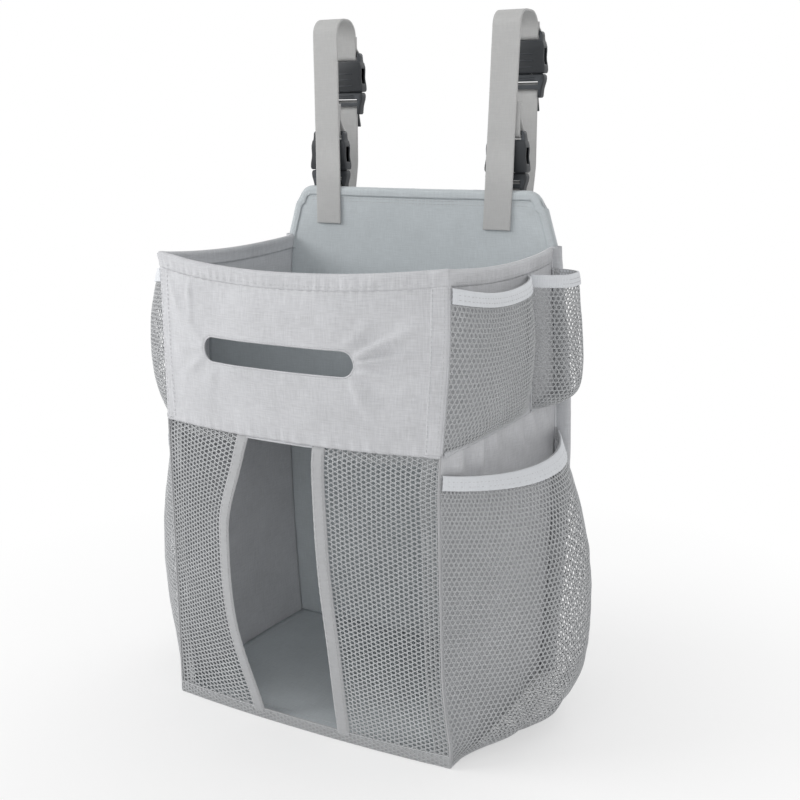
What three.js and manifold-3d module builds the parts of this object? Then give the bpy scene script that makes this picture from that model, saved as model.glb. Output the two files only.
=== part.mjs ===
// A bedside hanging organizer: a soft fabric and mesh caddy that hangs from a rail by two webbing loops.
// Lengths are millimetres. X runs to the right as seen from the front, Y to the back and Z up.
// The back panel stands at Y = 0 in the bag's own axes, and the last lines centre the footprint on Z.

import * as THREE from "three";
import { mergeVertices } from "three/addons/utils/BufferGeometryUtils.js";
import Module from "manifold-3d";

const wasm = await Module();
wasm.setup();

// The bag
const BODY_WIDTH = 250;
const BODY_DEPTH = 185;
const RIM_HEIGHT = 372;
const RIM_DIP = 7;
const SHELF_HEIGHT = 240;
const PANEL_TOP = 415;
const REAR_HALF_WIDTH = 126;
const REAR_FLARE = 8.5;
const SIDE_CROWN = 3;
const FOOTPRINT_CENTRE = { x: 1.02, y: -80.7 };

// How far the front stands out from its two corners, low to high
const BELLY_AT_BASE = 5;
const BELLY_AT_SHELF = 14;
const BELLY_AT_RIM = 20;
const LOWER_BELLY_CROWN = 11;
const UPPER_BELLY_CROWN = 6;
const BELLY_ROUNDNESS = 2.2;

// How far the shelf draws the right front corner in, with the cloth above and below it
const WAIST_PULL = 7.3;
const WAIST_HEIGHT = 215;
const WAIST_LOW = 20;
const WAIST_FADE = [200, 330];
const WAIST_CURVE = 0.6;

// Cloth, boards and the gap left at each seam
const FABRIC = 1.6;
const PLY = 0.8;
const MESH = 1.2;
const BOARD = 3;
const FLOOR_FRONT_EASE = 1.6;
const SEAM_GAP = 0.3;
const HALF_WIDTH = BODY_WIDTH / 2;
const LINING = FABRIC / 2 + SEAM_GAP + 0.1;

// Back panel: two plies with a board between them
const PANEL_FRONT_FACE = -4.6;
const PANEL_OVERHANG = { low: 8.5, rim: 4, fadeFrom: 250 };
const PANEL_TOP_HALF_WIDTH = 117;
const PANEL_CORNER = 12;
const BOARD_INSET = 4;
const BINDING_WIDTH = 4;
const BINDING_DEPTH = 7.6;
const BINDING_FRONT = -6;

// Front panel, its dispensing slot and the pocket behind it
const SLOT_LENGTH = 133.5;
const SLOT_HEIGHT = 18.5;
const SLOT_CENTRE = new THREE.Vector2(-6.5, 303.5);
const HEM_HEIGHT = 10;
const HEM_THICKNESS = 1.4;
const WIPES_POCKET_DEPTH = 58;
const WIPES_POCKET_TOP = 350;

// Lower front: a net each side of an opening that two bowed tapes edge
const BASE_BAND_HEIGHT = 10;
const TAPE_WIDTH = 12;
const TAPE_THICKNESS = 1.6;
const NET_PITCH = 12.4;
const NET_STRAND = 2.6;
const NET_BORDER = 5;

// Side pockets: bulge is how far one stands out, sharp how soon above its bottom seam, snug how far
// its mouth draws in, and skew and roundness its shape in plan
const POCKET_STANDOFF = 1.7;
const BAND_THICKNESS = 1.2;
const BAND_HEIGHT = 10.5;
const BAND_SPAN = [0.008, 0.975];
const DIVIDER_Y = -61;
const DIVIDER_GAP = 3;
const UPPER_CLIMB = 11;
const MOUTH_SHARPNESS = 7;
const HEIGHT_CURVE = 1.6;
const POCKET_SEAM = 0.1;
const POCKET_FRONT = -183.8;
const POCKET_REAR = -7;
const EVEN_SWELL = { skew: 1, roundness: 4, mouthRoundness: 4 };
const REAR_POCKET = {
  ...EVEN_SWELL,
  from: DIVIDER_Y + DIVIDER_GAP,
  to: POCKET_REAR,
  bulge: 30,
  snug: 0.12,
  sharp: 7,
  top: 359,
};
const FRONT_POCKET = { ...EVEN_SWELL, from: POCKET_FRONT, to: DIVIDER_Y, top: 355 };
const UPPER_POCKETS = [
  { name: "front_right", side: 1, ...FRONT_POCKET, bulge: 17, snug: 0.5, sharp: 3 },
  { name: "rear_right", side: 1, ...REAR_POCKET },
  { name: "front_left", side: -1, ...FRONT_POCKET, bulge: 39, snug: 0.5, sharp: 5 },
  { name: "rear_left", side: -1, ...REAR_POCKET },
];
const LOWER_POCKET = {
  from: POCKET_FRONT,
  to: POCKET_REAR,
  mouthRoundness: 2.2,
  snug: 0.5,
  bottom: 3,
  top: 215,
  cornerRise: 13,
};
const LOWER_POCKETS = [
  { name: "left", side: -1, ...LOWER_POCKET, bulge: 58, sharp: 3.2, skew: 1, roundness: 2.6 },
  {
    name: "right",
    side: 1,
    ...LOWER_POCKET,
    bulge: 59.5,
    sharp: 4.5,
    sharpFront: 8.5,
    skew: 1.3,
    roundness: 2.5,
  },
];

// Hangers: two webbing loops, each with two side-release buckles
const WEBBING_WIDTH = 25;
const WEBBING = 1.6;
const LOOP_TOP = 557;
const LOOP_CORNER = 13;
const LAP_LENGTH = 18;
const TAIL_END = 383;
const TAIL_Y = -5.7;
const HANGERS = [
  { name: "left", x: -90.4, depth: 30, upperMouth: 497 },
  { name: "right", x: 81.5, depth: 35, upperMouth: 509 },
];
const LOWER_MOUTH = 429.5;
const LOWER_BUCKLE_Y = 5.9;
const ANCHOR_SEWN = [335, 372];
const REAR_SEWN = [245, 285];
const REAR_STRAIGHT_TO = 436;
const SEWN_Y = 1.7;
const FOLD_RADIUS = 2.1;

// Side-release buckle, measured up from the mouth of the shell
const BUCKLE_THICKNESS = 9.6;
const BUCKLE_HALF_WIDTH = 19;
const SHELL_LENGTH = 33.5;
const CAVITY_HALF_WIDTH = 16.5;
const CAVITY_HALF_DEPTH = 3;
const CAVITY_LENGTH = 24;
const SLOT_HALF_WIDTH = 13.1;
const SHELL_SLOT = [26.2, 30];
const SHELL_BAR_Z = 31.7;
const STRAP_END_DEPTH = 6.4;
const SHELL_BAR_DEPTH = 3.2;
const WRAP_RADIUS = 3.45;
const WINDOW = [7, 20];
const FORK_DEPTH = 5.2;
const BASE_DEPTH = 7.6;
const LADDER_SLOTS = [[-9.2, -6.2], [-16.6, -12.4]];
const MID_BAR_REAR = -0.8;
const END_BAR_FRONT = 0.2;
const TAB_HALF_WIDTH = 11;
const EDGE_BREAK = 0.8;
const WINDOW_HALF_DEPTH = 2.6;

const ARC_STEPS = 4;

function finish(color, roughness) {
  return new THREE.MeshStandardMaterial({ color, roughness, metalness: 0 });
}

const FABRIC_FINISH = finish(0xc9cace, 0.9);
const LINING_FINISH = finish(0xb4bcbf, 0.92);
const BOARD_FINISH = finish(0x8c8f90, 0.7);
const NET_FINISH = finish(0xa4a8aa, 0.85);
const TAPE_FINISH = finish(0xb3b5b8, 0.88);
const ELASTIC_FINISH = finish(0xd3d8e0, 0.8);
const WEBBING_FINISH = finish(0xbebcbc, 0.85);
const BUCKLE_FINISH = finish(0x35373a, 0.45);

const { clamp, lerp, smoothstep } = THREE.MathUtils;

// Shape of the bag

function belly(z) {
  if (z < SHELF_HEIGHT) {
    const share = z / SHELF_HEIGHT;
    return lerp(BELLY_AT_BASE, BELLY_AT_SHELF, share) + LOWER_BELLY_CROWN * Math.sin(Math.PI * share);
  }
  const share = Math.min(1, (z - SHELF_HEIGHT) / (RIM_HEIGHT - SHELF_HEIGHT));
  return lerp(BELLY_AT_SHELF, BELLY_AT_RIM, share) + UPPER_BELLY_CROWN * Math.sin(Math.PI * share);
}

function frontY(x, z) {
  const across = Math.min(1, Math.abs(x) / HALF_WIDTH);
  return -BODY_DEPTH - belly(z) * (1 - across ** BELLY_ROUNDNESS);
}

function rearHalfWidth(z) {
  return REAR_HALF_WIDTH + REAR_FLARE * Math.sin(Math.PI * Math.min(1, z / RIM_HEIGHT));
}

function sideX(y, z) {
  const share = clamp((y + BODY_DEPTH) / BODY_DEPTH, 0, 1);
  return lerp(HALF_WIDTH, rearHalfWidth(z), share) + SIDE_CROWN * Math.sin(Math.PI * share);
}

function rimZ(x) {
  const across = Math.min(1, Math.abs(x) / HALF_WIDTH);
  return RIM_HEIGHT - 0.4 - RIM_DIP * (1 - across ** 2);
}

function panelHalfWidth(z) {
  const { low, rim, fadeFrom } = PANEL_OVERHANG;
  if (z <= RIM_HEIGHT) {
    return rearHalfWidth(z) + lerp(low, rim, smoothstep(z, fadeFrom, RIM_HEIGHT));
  }
  const share = (z - RIM_HEIGHT) / (PANEL_TOP - RIM_HEIGHT);
  return lerp(REAR_HALF_WIDTH + rim, PANEL_TOP_HALF_WIDTH, share);
}

// Draws a point of the cloth in towards the shelf, most at the right front corner
function drawIn(point) {
  const rise = clamp((point.z - WAIST_LOW) / (WAIST_HEIGHT - WAIST_LOW), 0, 1) ** WAIST_CURVE;
  const waist = rise * (1 - smoothstep(point.z, ...WAIST_FADE));
  const front = clamp(-point.y / BODY_DEPTH, 0, 1);
  const across = (1 + clamp(point.x / HALF_WIDTH, -1, 1)) / 2;
  point.x -= WAIST_PULL * front * waist * across;
}

function leftTapeX(z) {
  return -39 - 20.5 * Math.exp(-(((z - 160) / 52) ** 2));
}

function rightTapeX(z) {
  return 36 - 8.5 * (z / SHELF_HEIGHT) ** 3;
}

// Making and cutting solids

function welded(geometry) {
  const bare = geometry.clone();
  bare.deleteAttribute("normal");
  bare.deleteAttribute("uv");
  return mergeVertices(bare, 1e-3);
}

function toSolid(geometry) {
  const bare = welded(geometry);
  const vertProperties = new Float32Array(bare.attributes.position.array);
  const triVerts = new Uint32Array(bare.index.array);
  return new wasm.Manifold(new wasm.Mesh({ numProp: 3, vertProperties, triVerts }));
}

function toGeometry(solid) {
  const mesh = solid.getMesh();
  const geometry = new THREE.BufferGeometry();
  geometry.setAttribute("position", new THREE.BufferAttribute(new Float32Array(mesh.vertProperties), 3));
  geometry.setIndex(new THREE.BufferAttribute(new Uint32Array(mesh.triVerts), 1));
  return geometry;
}

function cut(geometry, tools) {
  return toGeometry(tools.reduce((solid, tool) => solid.subtract(toSolid(tool)), toSolid(geometry)));
}

function join(geometries) {
  return toGeometry(geometries.map(toSolid).reduce((solid, next) => solid.add(next)));
}

// A box between two corners
function block(low, high) {
  const size = high.map((value, axis) => value - low[axis]);
  const geometry = new THREE.BoxGeometry(...size);
  return geometry.translate(...low.map((value, axis) => value + size[axis] / 2));
}

// An outline drawn in X and Z, made solid along Y from one depth to another
function upright(shape, from, to, options = {}) {
  const settings = { depth: to - from, bevelEnabled: false, curveSegments: ARC_STEPS, ...options };
  const geometry = new THREE.ExtrudeGeometry(shape, settings);
  geometry.rotateX(Math.PI / 2);
  return geometry.translate(0, to, 0);
}

// An outline drawn in plan, made solid upwards from a height
function plate(shape, height, thickness) {
  const geometry = new THREE.ExtrudeGeometry(shape, { depth: thickness, bevelEnabled: false });
  return geometry.translate(0, 0, height);
}

// An outline drawn in Y and Z, made solid along X about the middle
function sideways(shape, width) {
  const settings = { depth: width, bevelEnabled: false, curveSegments: ARC_STEPS };
  const geometry = new THREE.ExtrudeGeometry(shape, settings);
  const axes = [new THREE.Vector3(0, 1, 0), new THREE.Vector3(0, 0, 1), new THREE.Vector3(1, 0, 0)];
  geometry.applyMatrix4(new THREE.Matrix4().makeBasis(...axes));
  return geometry.translate(-width / 2, 0, 0);
}

function moved(geometry, move) {
  const position = geometry.attributes.position;
  const point = new THREE.Vector3();
  for (let index = 0; index < position.count; index += 1) {
    point.fromBufferAttribute(position, index);
    move(point);
    position.setXYZ(index, point.x, point.y, point.z);
  }
  return geometry;
}

// The direction square to a sheet whose middle is place(u, v)
function sheetNormal(place, u, v) {
  const step = 1e-3;
  const along = place(u + step, v).sub(place(u - step, v));
  const up = place(u, v + step).sub(place(u, v - step));
  return up.cross(along).normalize();
}

// A curved sheet of even thickness, divided across and up, that leans no further below its seam
function sheet(place, across, up, thickness, seam = 0) {
  return moved(new THREE.BoxGeometry(1, 1, 1, across, 1, up), (point) => {
    const u = point.x + 0.5;
    const v = point.z + 0.5;
    const offset = point.y * thickness;
    point.copy(place(u, v)).addScaledVector(sheetNormal(place, u, Math.max(v, seam)), offset);
  });
}

const bag = new THREE.Group();

function addPiece(parent, name, geometry, material) {
  const mesh = new THREE.Mesh(welded(geometry), material.clone());
  mesh.name = name;
  parent.add(mesh);
  return mesh;
}

function addCloth(name, geometry, material) {
  return addPiece(bag, name, moved(geometry, drawIn), material);
}

// Back panel

function panelShape(inset, top) {
  const shape = new THREE.Shape();
  const heights = Array.from({ length: 9 }, (_, index) => lerp(0.4 + inset, RIM_HEIGHT, index / 8));
  const corner = PANEL_CORNER - inset / 2;
  const topHalf = panelHalfWidth(top) - inset;
  shape.moveTo(-panelHalfWidth(heights[0]) + inset, heights[0]);
  heights.forEach((z) => shape.lineTo(panelHalfWidth(z) - inset, z));
  shape.lineTo(topHalf + 1, top - corner);
  shape.quadraticCurveTo(topHalf, top, topHalf - corner, top);
  shape.lineTo(-topHalf + corner, top);
  shape.quadraticCurveTo(-topHalf, top, -topHalf - 1, top - corner);
  heights.toReversed().slice(0, -1).forEach((z) => shape.lineTo(-panelHalfWidth(z) + inset, z));
  return shape;
}

function bindingShape(side) {
  const shape = new THREE.Shape();
  const heights = Array.from({ length: 9 }, (_, index) => lerp(0.4, RIM_HEIGHT, index / 8));
  const inner = (z) => side * (panelHalfWidth(z) + SEAM_GAP + 0.1);
  const outer = (z) => side * (panelHalfWidth(z) + BINDING_WIDTH);
  shape.moveTo(inner(heights[0]), heights[0]);
  heights.forEach((z) => shape.lineTo(outer(z), z));
  heights.toReversed().slice(0, -1).forEach((z) => shape.lineTo(inner(z), z));
  return shape;
}

function addBackPanel() {
  const boardFront = PANEL_FRONT_FACE + PLY + SEAM_GAP;
  const rearFront = boardFront + BOARD + SEAM_GAP;
  const front = upright(panelShape(0, PANEL_TOP), PANEL_FRONT_FACE, PANEL_FRONT_FACE + PLY);
  const board = upright(panelShape(BOARD_INSET, PANEL_TOP - BOARD_INSET), boardFront, boardFront + BOARD);
  const rear = upright(panelShape(0, PANEL_TOP), rearFront, rearFront + PLY);
  addCloth("back_panel_front_ply", front, LINING_FINISH);
  addCloth("back_panel_board", board, BOARD_FINISH);
  addCloth("back_panel_rear_ply", rear, FABRIC_FINISH);
  for (const [name, side] of [["left", -1], ["right", 1]]) {
    const strip = upright(bindingShape(side), BINDING_FRONT, BINDING_FRONT + BINDING_DEPTH);
    addCloth(`rear_binding_${name}`, strip, TAPE_FINISH);
  }
}

// Fabric walls, hem and wipes pocket

const WALL_STEPS = 6;
const FRONT_STEPS = 16;
const WALL_FRONT = -BODY_DEPTH + FABRIC / 2 + SEAM_GAP;
const WALL_REAR = PANEL_FRONT_FACE - SEAM_GAP;

function sideWall(side) {
  return sheet((u, v) => {
    const y = lerp(WALL_FRONT, WALL_REAR, u);
    const z = lerp(0.4, RIM_HEIGHT - 0.4, v);
    return new THREE.Vector3(side * sideX(y, z), y, z);
  }, WALL_STEPS, 8, FABRIC);
}

function frontPanel() {
  const half = HALF_WIDTH + FABRIC / 2;
  const wall = sheet((u, v) => {
    const x = lerp(-half, half, u);
    const z = lerp(SHELF_HEIGHT + SEAM_GAP, rimZ(x), v);
    return new THREE.Vector3(x, frontY(x, z), z);
  }, FRONT_STEPS, 8, FABRIC);
  const radius = SLOT_HEIGHT / 2;
  const reach = SLOT_LENGTH / 2 - radius;
  const slot = new THREE.Shape();
  slot.absarc(SLOT_CENTRE.x + reach, SLOT_CENTRE.y, radius, -Math.PI / 2, Math.PI / 2);
  slot.absarc(SLOT_CENTRE.x - reach, SLOT_CENTRE.y, radius, Math.PI / 2, Math.PI * 1.5);
  return cut(wall, [upright(slot, -BODY_DEPTH - 60, -BODY_DEPTH + 20)]);
}

// The hem runs forward along one wall, across the front and back along the other wall
function rimHem() {
  const offset = FABRIC / 2 + SEAM_GAP + HEM_THICKNESS / 2;
  const steps = FRONT_STEPS + 2 * WALL_STEPS;
  const sideShare = WALL_STEPS / steps;
  const corner = HALF_WIDTH + offset;
  const frontCorner = -BODY_DEPTH - offset;
  const along = (share, z, side) => {
    const y = lerp(frontCorner, WALL_REAR, share);
    return new THREE.Vector3(side * (sideX(y, z) + offset), y, z);
  };
  const place = (u, v) => {
    const drop = lerp(-HEM_HEIGHT, 0, v);
    if (u < sideShare) {
      return along(1 - u / sideShare, RIM_HEIGHT - 0.4 + drop, -1);
    }
    if (u > 1 - sideShare) {
      return along(1 - (1 - u) / sideShare, RIM_HEIGHT - 0.4 + drop, 1);
    }
    const x = lerp(-corner, corner, (u - sideShare) / (1 - 2 * sideShare));
    const z = rimZ(x) + drop;
    return new THREE.Vector3(x, frontY(x, z) - offset, z);
  };
  return sheet(place, steps, 1, HEM_THICKNESS);
}

function wipesPocketLiner() {
  const y = -BODY_DEPTH + WIPES_POCKET_DEPTH;
  const low = SHELF_HEIGHT + BOARD / 2 + SEAM_GAP + PLY + SEAM_GAP;
  const half = (z) => sideX(y, z) - LINING;
  const heights = Array.from({ length: 5 }, (_, index) => lerp(low, WIPES_POCKET_TOP, index / 4));
  const shape = new THREE.Shape();
  shape.moveTo(-half(low), low);
  heights.forEach((z) => shape.lineTo(half(z), z));
  heights.toReversed().slice(0, -1).forEach((z) => shape.lineTo(-half(z), z));
  return upright(shape, y - PLY / 2, y + PLY / 2);
}

function addWalls() {
  addCloth("side_wall_left", sideWall(-1), FABRIC_FINISH);
  addCloth("side_wall_right", sideWall(1), FABRIC_FINISH);
  addCloth("front_panel", frontPanel(), FABRIC_FINISH);
  addCloth("rim_hem", rimHem(), FABRIC_FINISH);
  addCloth("wipes_pocket_liner", wipesPocketLiner(), LINING_FINISH);
}

// Shelf and base: a board between two plies

function floorShape(z, inset) {
  const shape = new THREE.Shape();
  const depths = Array.from({ length: WALL_STEPS + 1 }, (_, index) => {
    return lerp(-BODY_DEPTH + inset, WALL_REAR, index / WALL_STEPS);
  });
  const corner = HALF_WIDTH - inset;
  shape.moveTo(-sideX(WALL_REAR, z) + inset, WALL_REAR);
  depths.toReversed().slice(1).forEach((y) => shape.lineTo(-sideX(y, z) + inset, y));
  for (let step = 1; step < FRONT_STEPS; step += 1) {
    const x = lerp(-corner, corner, step / FRONT_STEPS);
    shape.lineTo(x, frontY(x, z) + inset + FLOOR_FRONT_EASE);
  }
  depths.forEach((y) => shape.lineTo(sideX(y, z) - inset, y));
  return shape;
}

function addFloor(name, lowest, sample) {
  const boardLow = lowest + PLY + SEAM_GAP;
  const topLow = boardLow + BOARD + SEAM_GAP;
  addCloth(`${name}_lower_ply`, plate(floorShape(sample, LINING), lowest, PLY), FABRIC_FINISH);
  addCloth(`${name}_board`, plate(floorShape(sample, LINING + 2), boardLow, BOARD), BOARD_FINISH);
  addCloth(`${name}_upper_ply`, plate(floorShape(sample, LINING), topLow, PLY), LINING_FINISH);
}

// Lower front

function followFront(geometry) {
  return moved(geometry, (point) => {
    point.y += frontY(point.x, point.z);
  });
}

// A strip of cloth between two edges that are functions of height
function frontStrip(leftEdge, rightEdge, low, high, thickness) {
  const steps = 16;
  const heights = Array.from({ length: steps + 1 }, (_, index) => lerp(low, high, index / steps));
  const shape = new THREE.Shape();
  shape.moveTo(leftEdge(low), low);
  heights.forEach((z) => shape.lineTo(rightEdge(z), z));
  heights.toReversed().slice(0, -1).forEach((z) => shape.lineTo(leftEdge(z), z));
  return { shape, solid: () => followFront(upright(shape, -thickness / 2, thickness / 2)) };
}

// Six-sided gaps in staggered rows, drawn out across the strip
function netPanel(leftEdge, rightEdge, low, high) {
  const strip = frontStrip(leftEdge, rightEdge, low, high, MESH);
  const middle = (low + high) / 2;
  const width = rightEdge(middle) - leftEdge(middle);
  const rowPitch = NET_PITCH * Math.sqrt(0.75);
  const rows = Math.floor((high - low - 2 * NET_BORDER) / rowPitch);
  const columns = Math.floor((width - 2 * NET_BORDER) / NET_PITCH);
  const radius = (NET_PITCH - NET_STRAND) / Math.sqrt(3);
  const bottom = middle - ((rows - 1) * rowPitch) / 2;
  for (let row = 0; row < rows; row += 1) {
    const count = row % 2 === 0 ? columns : columns - 1;
    for (let column = 0; column < count; column += 1) {
      const centreZ = bottom + row * rowPitch;
      const centreU = 0.5 + ((column - (count - 1) / 2) * NET_PITCH) / width;
      const gap = new THREE.Path();
      for (let corner = 0; corner < 6; corner += 1) {
        const angle = Math.PI / 6 + (corner * Math.PI) / 3;
        const z = centreZ + radius * Math.sin(angle);
        const u = centreU + (radius * Math.cos(angle)) / width;
        const x = lerp(leftEdge(z), rightEdge(z), u);
        if (corner === 0) {
          gap.moveTo(x, z);
        } else {
          gap.lineTo(x, z);
        }
      }
      gap.closePath();
      strip.shape.holes.push(gap);
    }
  }
  return strip.solid();
}

function addLowerFront() {
  const low = BASE_BAND_HEIGHT + SEAM_GAP;
  const high = SHELF_HEIGHT - SEAM_GAP;
  const reach = TAPE_WIDTH / 2;
  const corner = HALF_WIDTH + MESH / 2;
  const leftNet = netPanel(() => -corner, (z) => leftTapeX(z) - reach - SEAM_GAP, low, high);
  const rightNet = netPanel((z) => rightTapeX(z) + reach + SEAM_GAP, () => corner, low, high);
  const tape = (middle) => sheet((u, v) => {
    const z = lerp(low, high, v);
    const x = middle(z) + lerp(-reach, reach, u);
    return new THREE.Vector3(x, frontY(x, z), z);
  }, 2, 16, TAPE_THICKNESS);
  const band = sheet((u, v) => {
    const x = lerp(-corner, corner, u);
    const z = lerp(0.4, BASE_BAND_HEIGHT, v);
    return new THREE.Vector3(x, frontY(x, z), z);
  }, FRONT_STEPS, 1, FABRIC);
  addCloth("front_net_left", leftNet, NET_FINISH);
  addCloth("front_net_right", rightNet, NET_FINISH);
  addCloth("opening_tape_left", tape(leftTapeX), TAPE_FINISH);
  addCloth("opening_tape_right", tape(rightTapeX), TAPE_FINISH);
  addCloth("base_front_band", band, FABRIC_FINISH);
}

// Side pockets: a net bag that swells from the wall, with an elastic band round its mouth

// How far a pocket stands out, from 0 at its seams to 1 at its fullest
function swell(pocket, u, v) {
  const height = clamp(v, 0, 1);
  const nearMouth = height ** MOUTH_SHARPNESS;
  const power = lerp(pocket.roundness, pocket.mouthRoundness, nearMouth);
  const across = 1 - Math.abs(2 * clamp(u, 0, 1) ** pocket.skew - 1) ** power;
  const sharp = lerp(pocket.sharpFront ?? pocket.sharp, pocket.sharp, clamp(u, 0, 1));
  const fromSeam = 1 - (1 - height) ** sharp;
  return across * fromSeam * (1 - pocket.snug * nearMouth);
}

function pocketPoint(pocket, u, v, offset) {
  const y = lerp(pocket.from, pocket.to, u);
  const top = pocket.top + (pocket.cornerRise ?? 0) * (1 - u) ** 4;
  const bottom = pocket.bottom + (pocket.climb ?? 0) * (1 + y / BODY_DEPTH);
  const z = lerp(bottom, top, Math.max(0, v) ** HEIGHT_CURVE);
  const x = sideX(y, z) + POCKET_STANDOFF + offset + pocket.bulge * swell(pocket, u, v);
  return new THREE.Vector3(pocket.side * x, y, z);
}

function addPocket(name, pocket, across, up) {
  const bandOffset = (MESH + BAND_THICKNESS) / 2 + 2 * SEAM_GAP;
  const bandShare = 1 - (1 - BAND_HEIGHT / (pocket.top - pocket.bottom)) ** (1 / HEIGHT_CURVE);
  const net = sheet((u, v) => pocketPoint(pocket, u, v, 0), across, up, MESH, POCKET_SEAM);
  const band = sheet((u, v) => {
    const height = lerp(1 - bandShare, 1, v);
    const along = clamp(u, ...BAND_SPAN);
    const point = pocketPoint(pocket, along, height, 0);
    const normal = sheetNormal((a, b) => pocketPoint(pocket, a, b, 0), along, Math.min(height, 0.99));
    return point.addScaledVector(normal, bandOffset * Math.sign(normal.x * pocket.side));
  }, across, 1, BAND_THICKNESS);
  addCloth(`${name}_pocket`, net, NET_FINISH);
  addCloth(`${name}_elastic`, band, ELASTIC_FINISH);
}

function addPockets() {
  for (const pocket of UPPER_POCKETS) {
    addPocket(`upper_${pocket.name}`, { ...pocket, bottom: SHELF_HEIGHT + 0.5, climb: UPPER_CLIMB }, 13, 6);
  }
  for (const pocket of LOWER_POCKETS) {
    addPocket(`lower_${pocket.name}`, pocket, 15, 9);
  }
}

// Webbing: a path in Y and Z, given the webbing's thickness and width

function ribbon(path) {
  const points = path.getPoints(5);
  const edge = (sign) => points.map((point, index) => {
    const before = points[Math.max(0, index - 1)];
    const after = points[Math.min(points.length - 1, index + 1)];
    const along = after.clone().sub(before).normalize();
    return new THREE.Vector2(-along.y, along.x).multiplyScalar((sign * WEBBING) / 2).add(point);
  });
  const outline = [...edge(1), ...edge(-1).reverse()];
  return sideways(new THREE.Shape(outline), WEBBING_WIDTH);
}

// From its free end in front of the back panel, up, over the rail and round the bar of the upper buckle
function mainWebbing(hanger) {
  const spring = LOOP_TOP - LOOP_CORNER;
  const barY = hanger.depth + WRAP_RADIUS;
  const barZ = hanger.upperMouth + SHELL_BAR_Z;
  const path = new THREE.Path();
  path.moveTo(TAIL_Y, TAIL_END);
  path.lineTo(TAIL_Y, PANEL_TOP + 1);
  path.bezierCurveTo(TAIL_Y, PANEL_TOP + 11, 0, PANEL_TOP + 11, 0, PANEL_TOP + 21);
  path.lineTo(0, spring);
  path.absarc(LOOP_CORNER, spring, LOOP_CORNER, Math.PI, Math.PI / 2, true);
  path.absarc(hanger.depth - LOOP_CORNER, spring, LOOP_CORNER, Math.PI / 2, 0, true);
  path.absarc(barY, barZ, WRAP_RADIUS, Math.PI, Math.PI * 2, false);
  const lap = hanger.depth + WEBBING + SEAM_GAP;
  const lapEnd = Math.max(barZ + LAP_LENGTH / 2, Math.min(barZ + LAP_LENGTH, spring));
  path.bezierCurveTo(barY + WRAP_RADIUS, barZ + 4, lap, barZ + 2, lap, barZ + 7);
  path.lineTo(lap, lapEnd);
  return ribbon(path);
}

// From the rear ply up to a male half, through its ladder slots and down behind its tab
function threadedWebbing(sewn, straightTo, plane, mouth, tail) {
  const [midLow, midHigh] = [LADDER_SLOTS[1][1], LADDER_SLOTS[0][0]];
  const front = plane - 1.6;
  const behindBar = plane + 0.9;
  const path = new THREE.Path();
  path.moveTo(SEWN_Y, sewn[0]);
  path.lineTo(SEWN_Y, sewn[1]);
  path.bezierCurveTo(SEWN_Y, sewn[1] + 14, front, straightTo - 10, front, straightTo);
  path.lineTo(front, mouth + LADDER_SLOTS[1][0] - 0.7);
  path.lineTo(behindBar, mouth + midLow + 0.7);
  path.lineTo(behindBar, mouth + midHigh - 0.5);
  path.absarc(behindBar + FOLD_RADIUS, mouth + midHigh - 0.5, FOLD_RADIUS, Math.PI, 0, true);
  path.lineTo(plane + 5.2, mouth - 14);
  path.lineTo(plane + 8.4, mouth - 30);
  path.lineTo(plane + 8.4, mouth - 30 - tail);
  return ribbon(path);
}

// A short loop sewn to the back of the main webbing, which holds the lower buckle's shell by its bar
function keeperWebbing() {
  const barZ = LOWER_MOUTH + SHELL_BAR_Z;
  const first = WEBBING + SEAM_GAP;
  const second = first + WEBBING + SEAM_GAP;
  const path = new THREE.Path();
  path.moveTo(first, barZ + 25);
  path.lineTo(first, barZ + 6);
  path.lineTo(LOWER_BUCKLE_Y - WRAP_RADIUS, barZ + 1);
  path.absarc(LOWER_BUCKLE_Y, barZ, WRAP_RADIUS, Math.PI, Math.PI * 2, false);
  path.lineTo(LOWER_BUCKLE_Y + WRAP_RADIUS, barZ + 3);
  path.lineTo(second, barZ + 12);
  path.lineTo(second, barZ + 25);
  return ribbon(path);
}

// Buckle, with its mouth at Z = 0 and its middle plane at Y = 0

function mirrored(shape) {
  const right = shape.getPoints(ARC_STEPS);
  const left = right.map((point) => new THREE.Vector2(-point.x, point.y)).reverse();
  return new THREE.Shape([...right, ...left].filter((point, index, all) => {
    return index === 0 || point.distanceTo(all[index - 1]) > 1e-3;
  }));
}

const SOFT_EDGE = {
  bevelEnabled: true,
  bevelThickness: EDGE_BREAK,
  bevelSize: EDGE_BREAK,
  bevelOffset: -EDGE_BREAK,
  bevelSegments: 1,
};

function softEdged(shape, halfDepth) {
  return upright(shape, -halfDepth + EDGE_BREAK, halfDepth - EDGE_BREAK, SOFT_EDGE);
}

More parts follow.
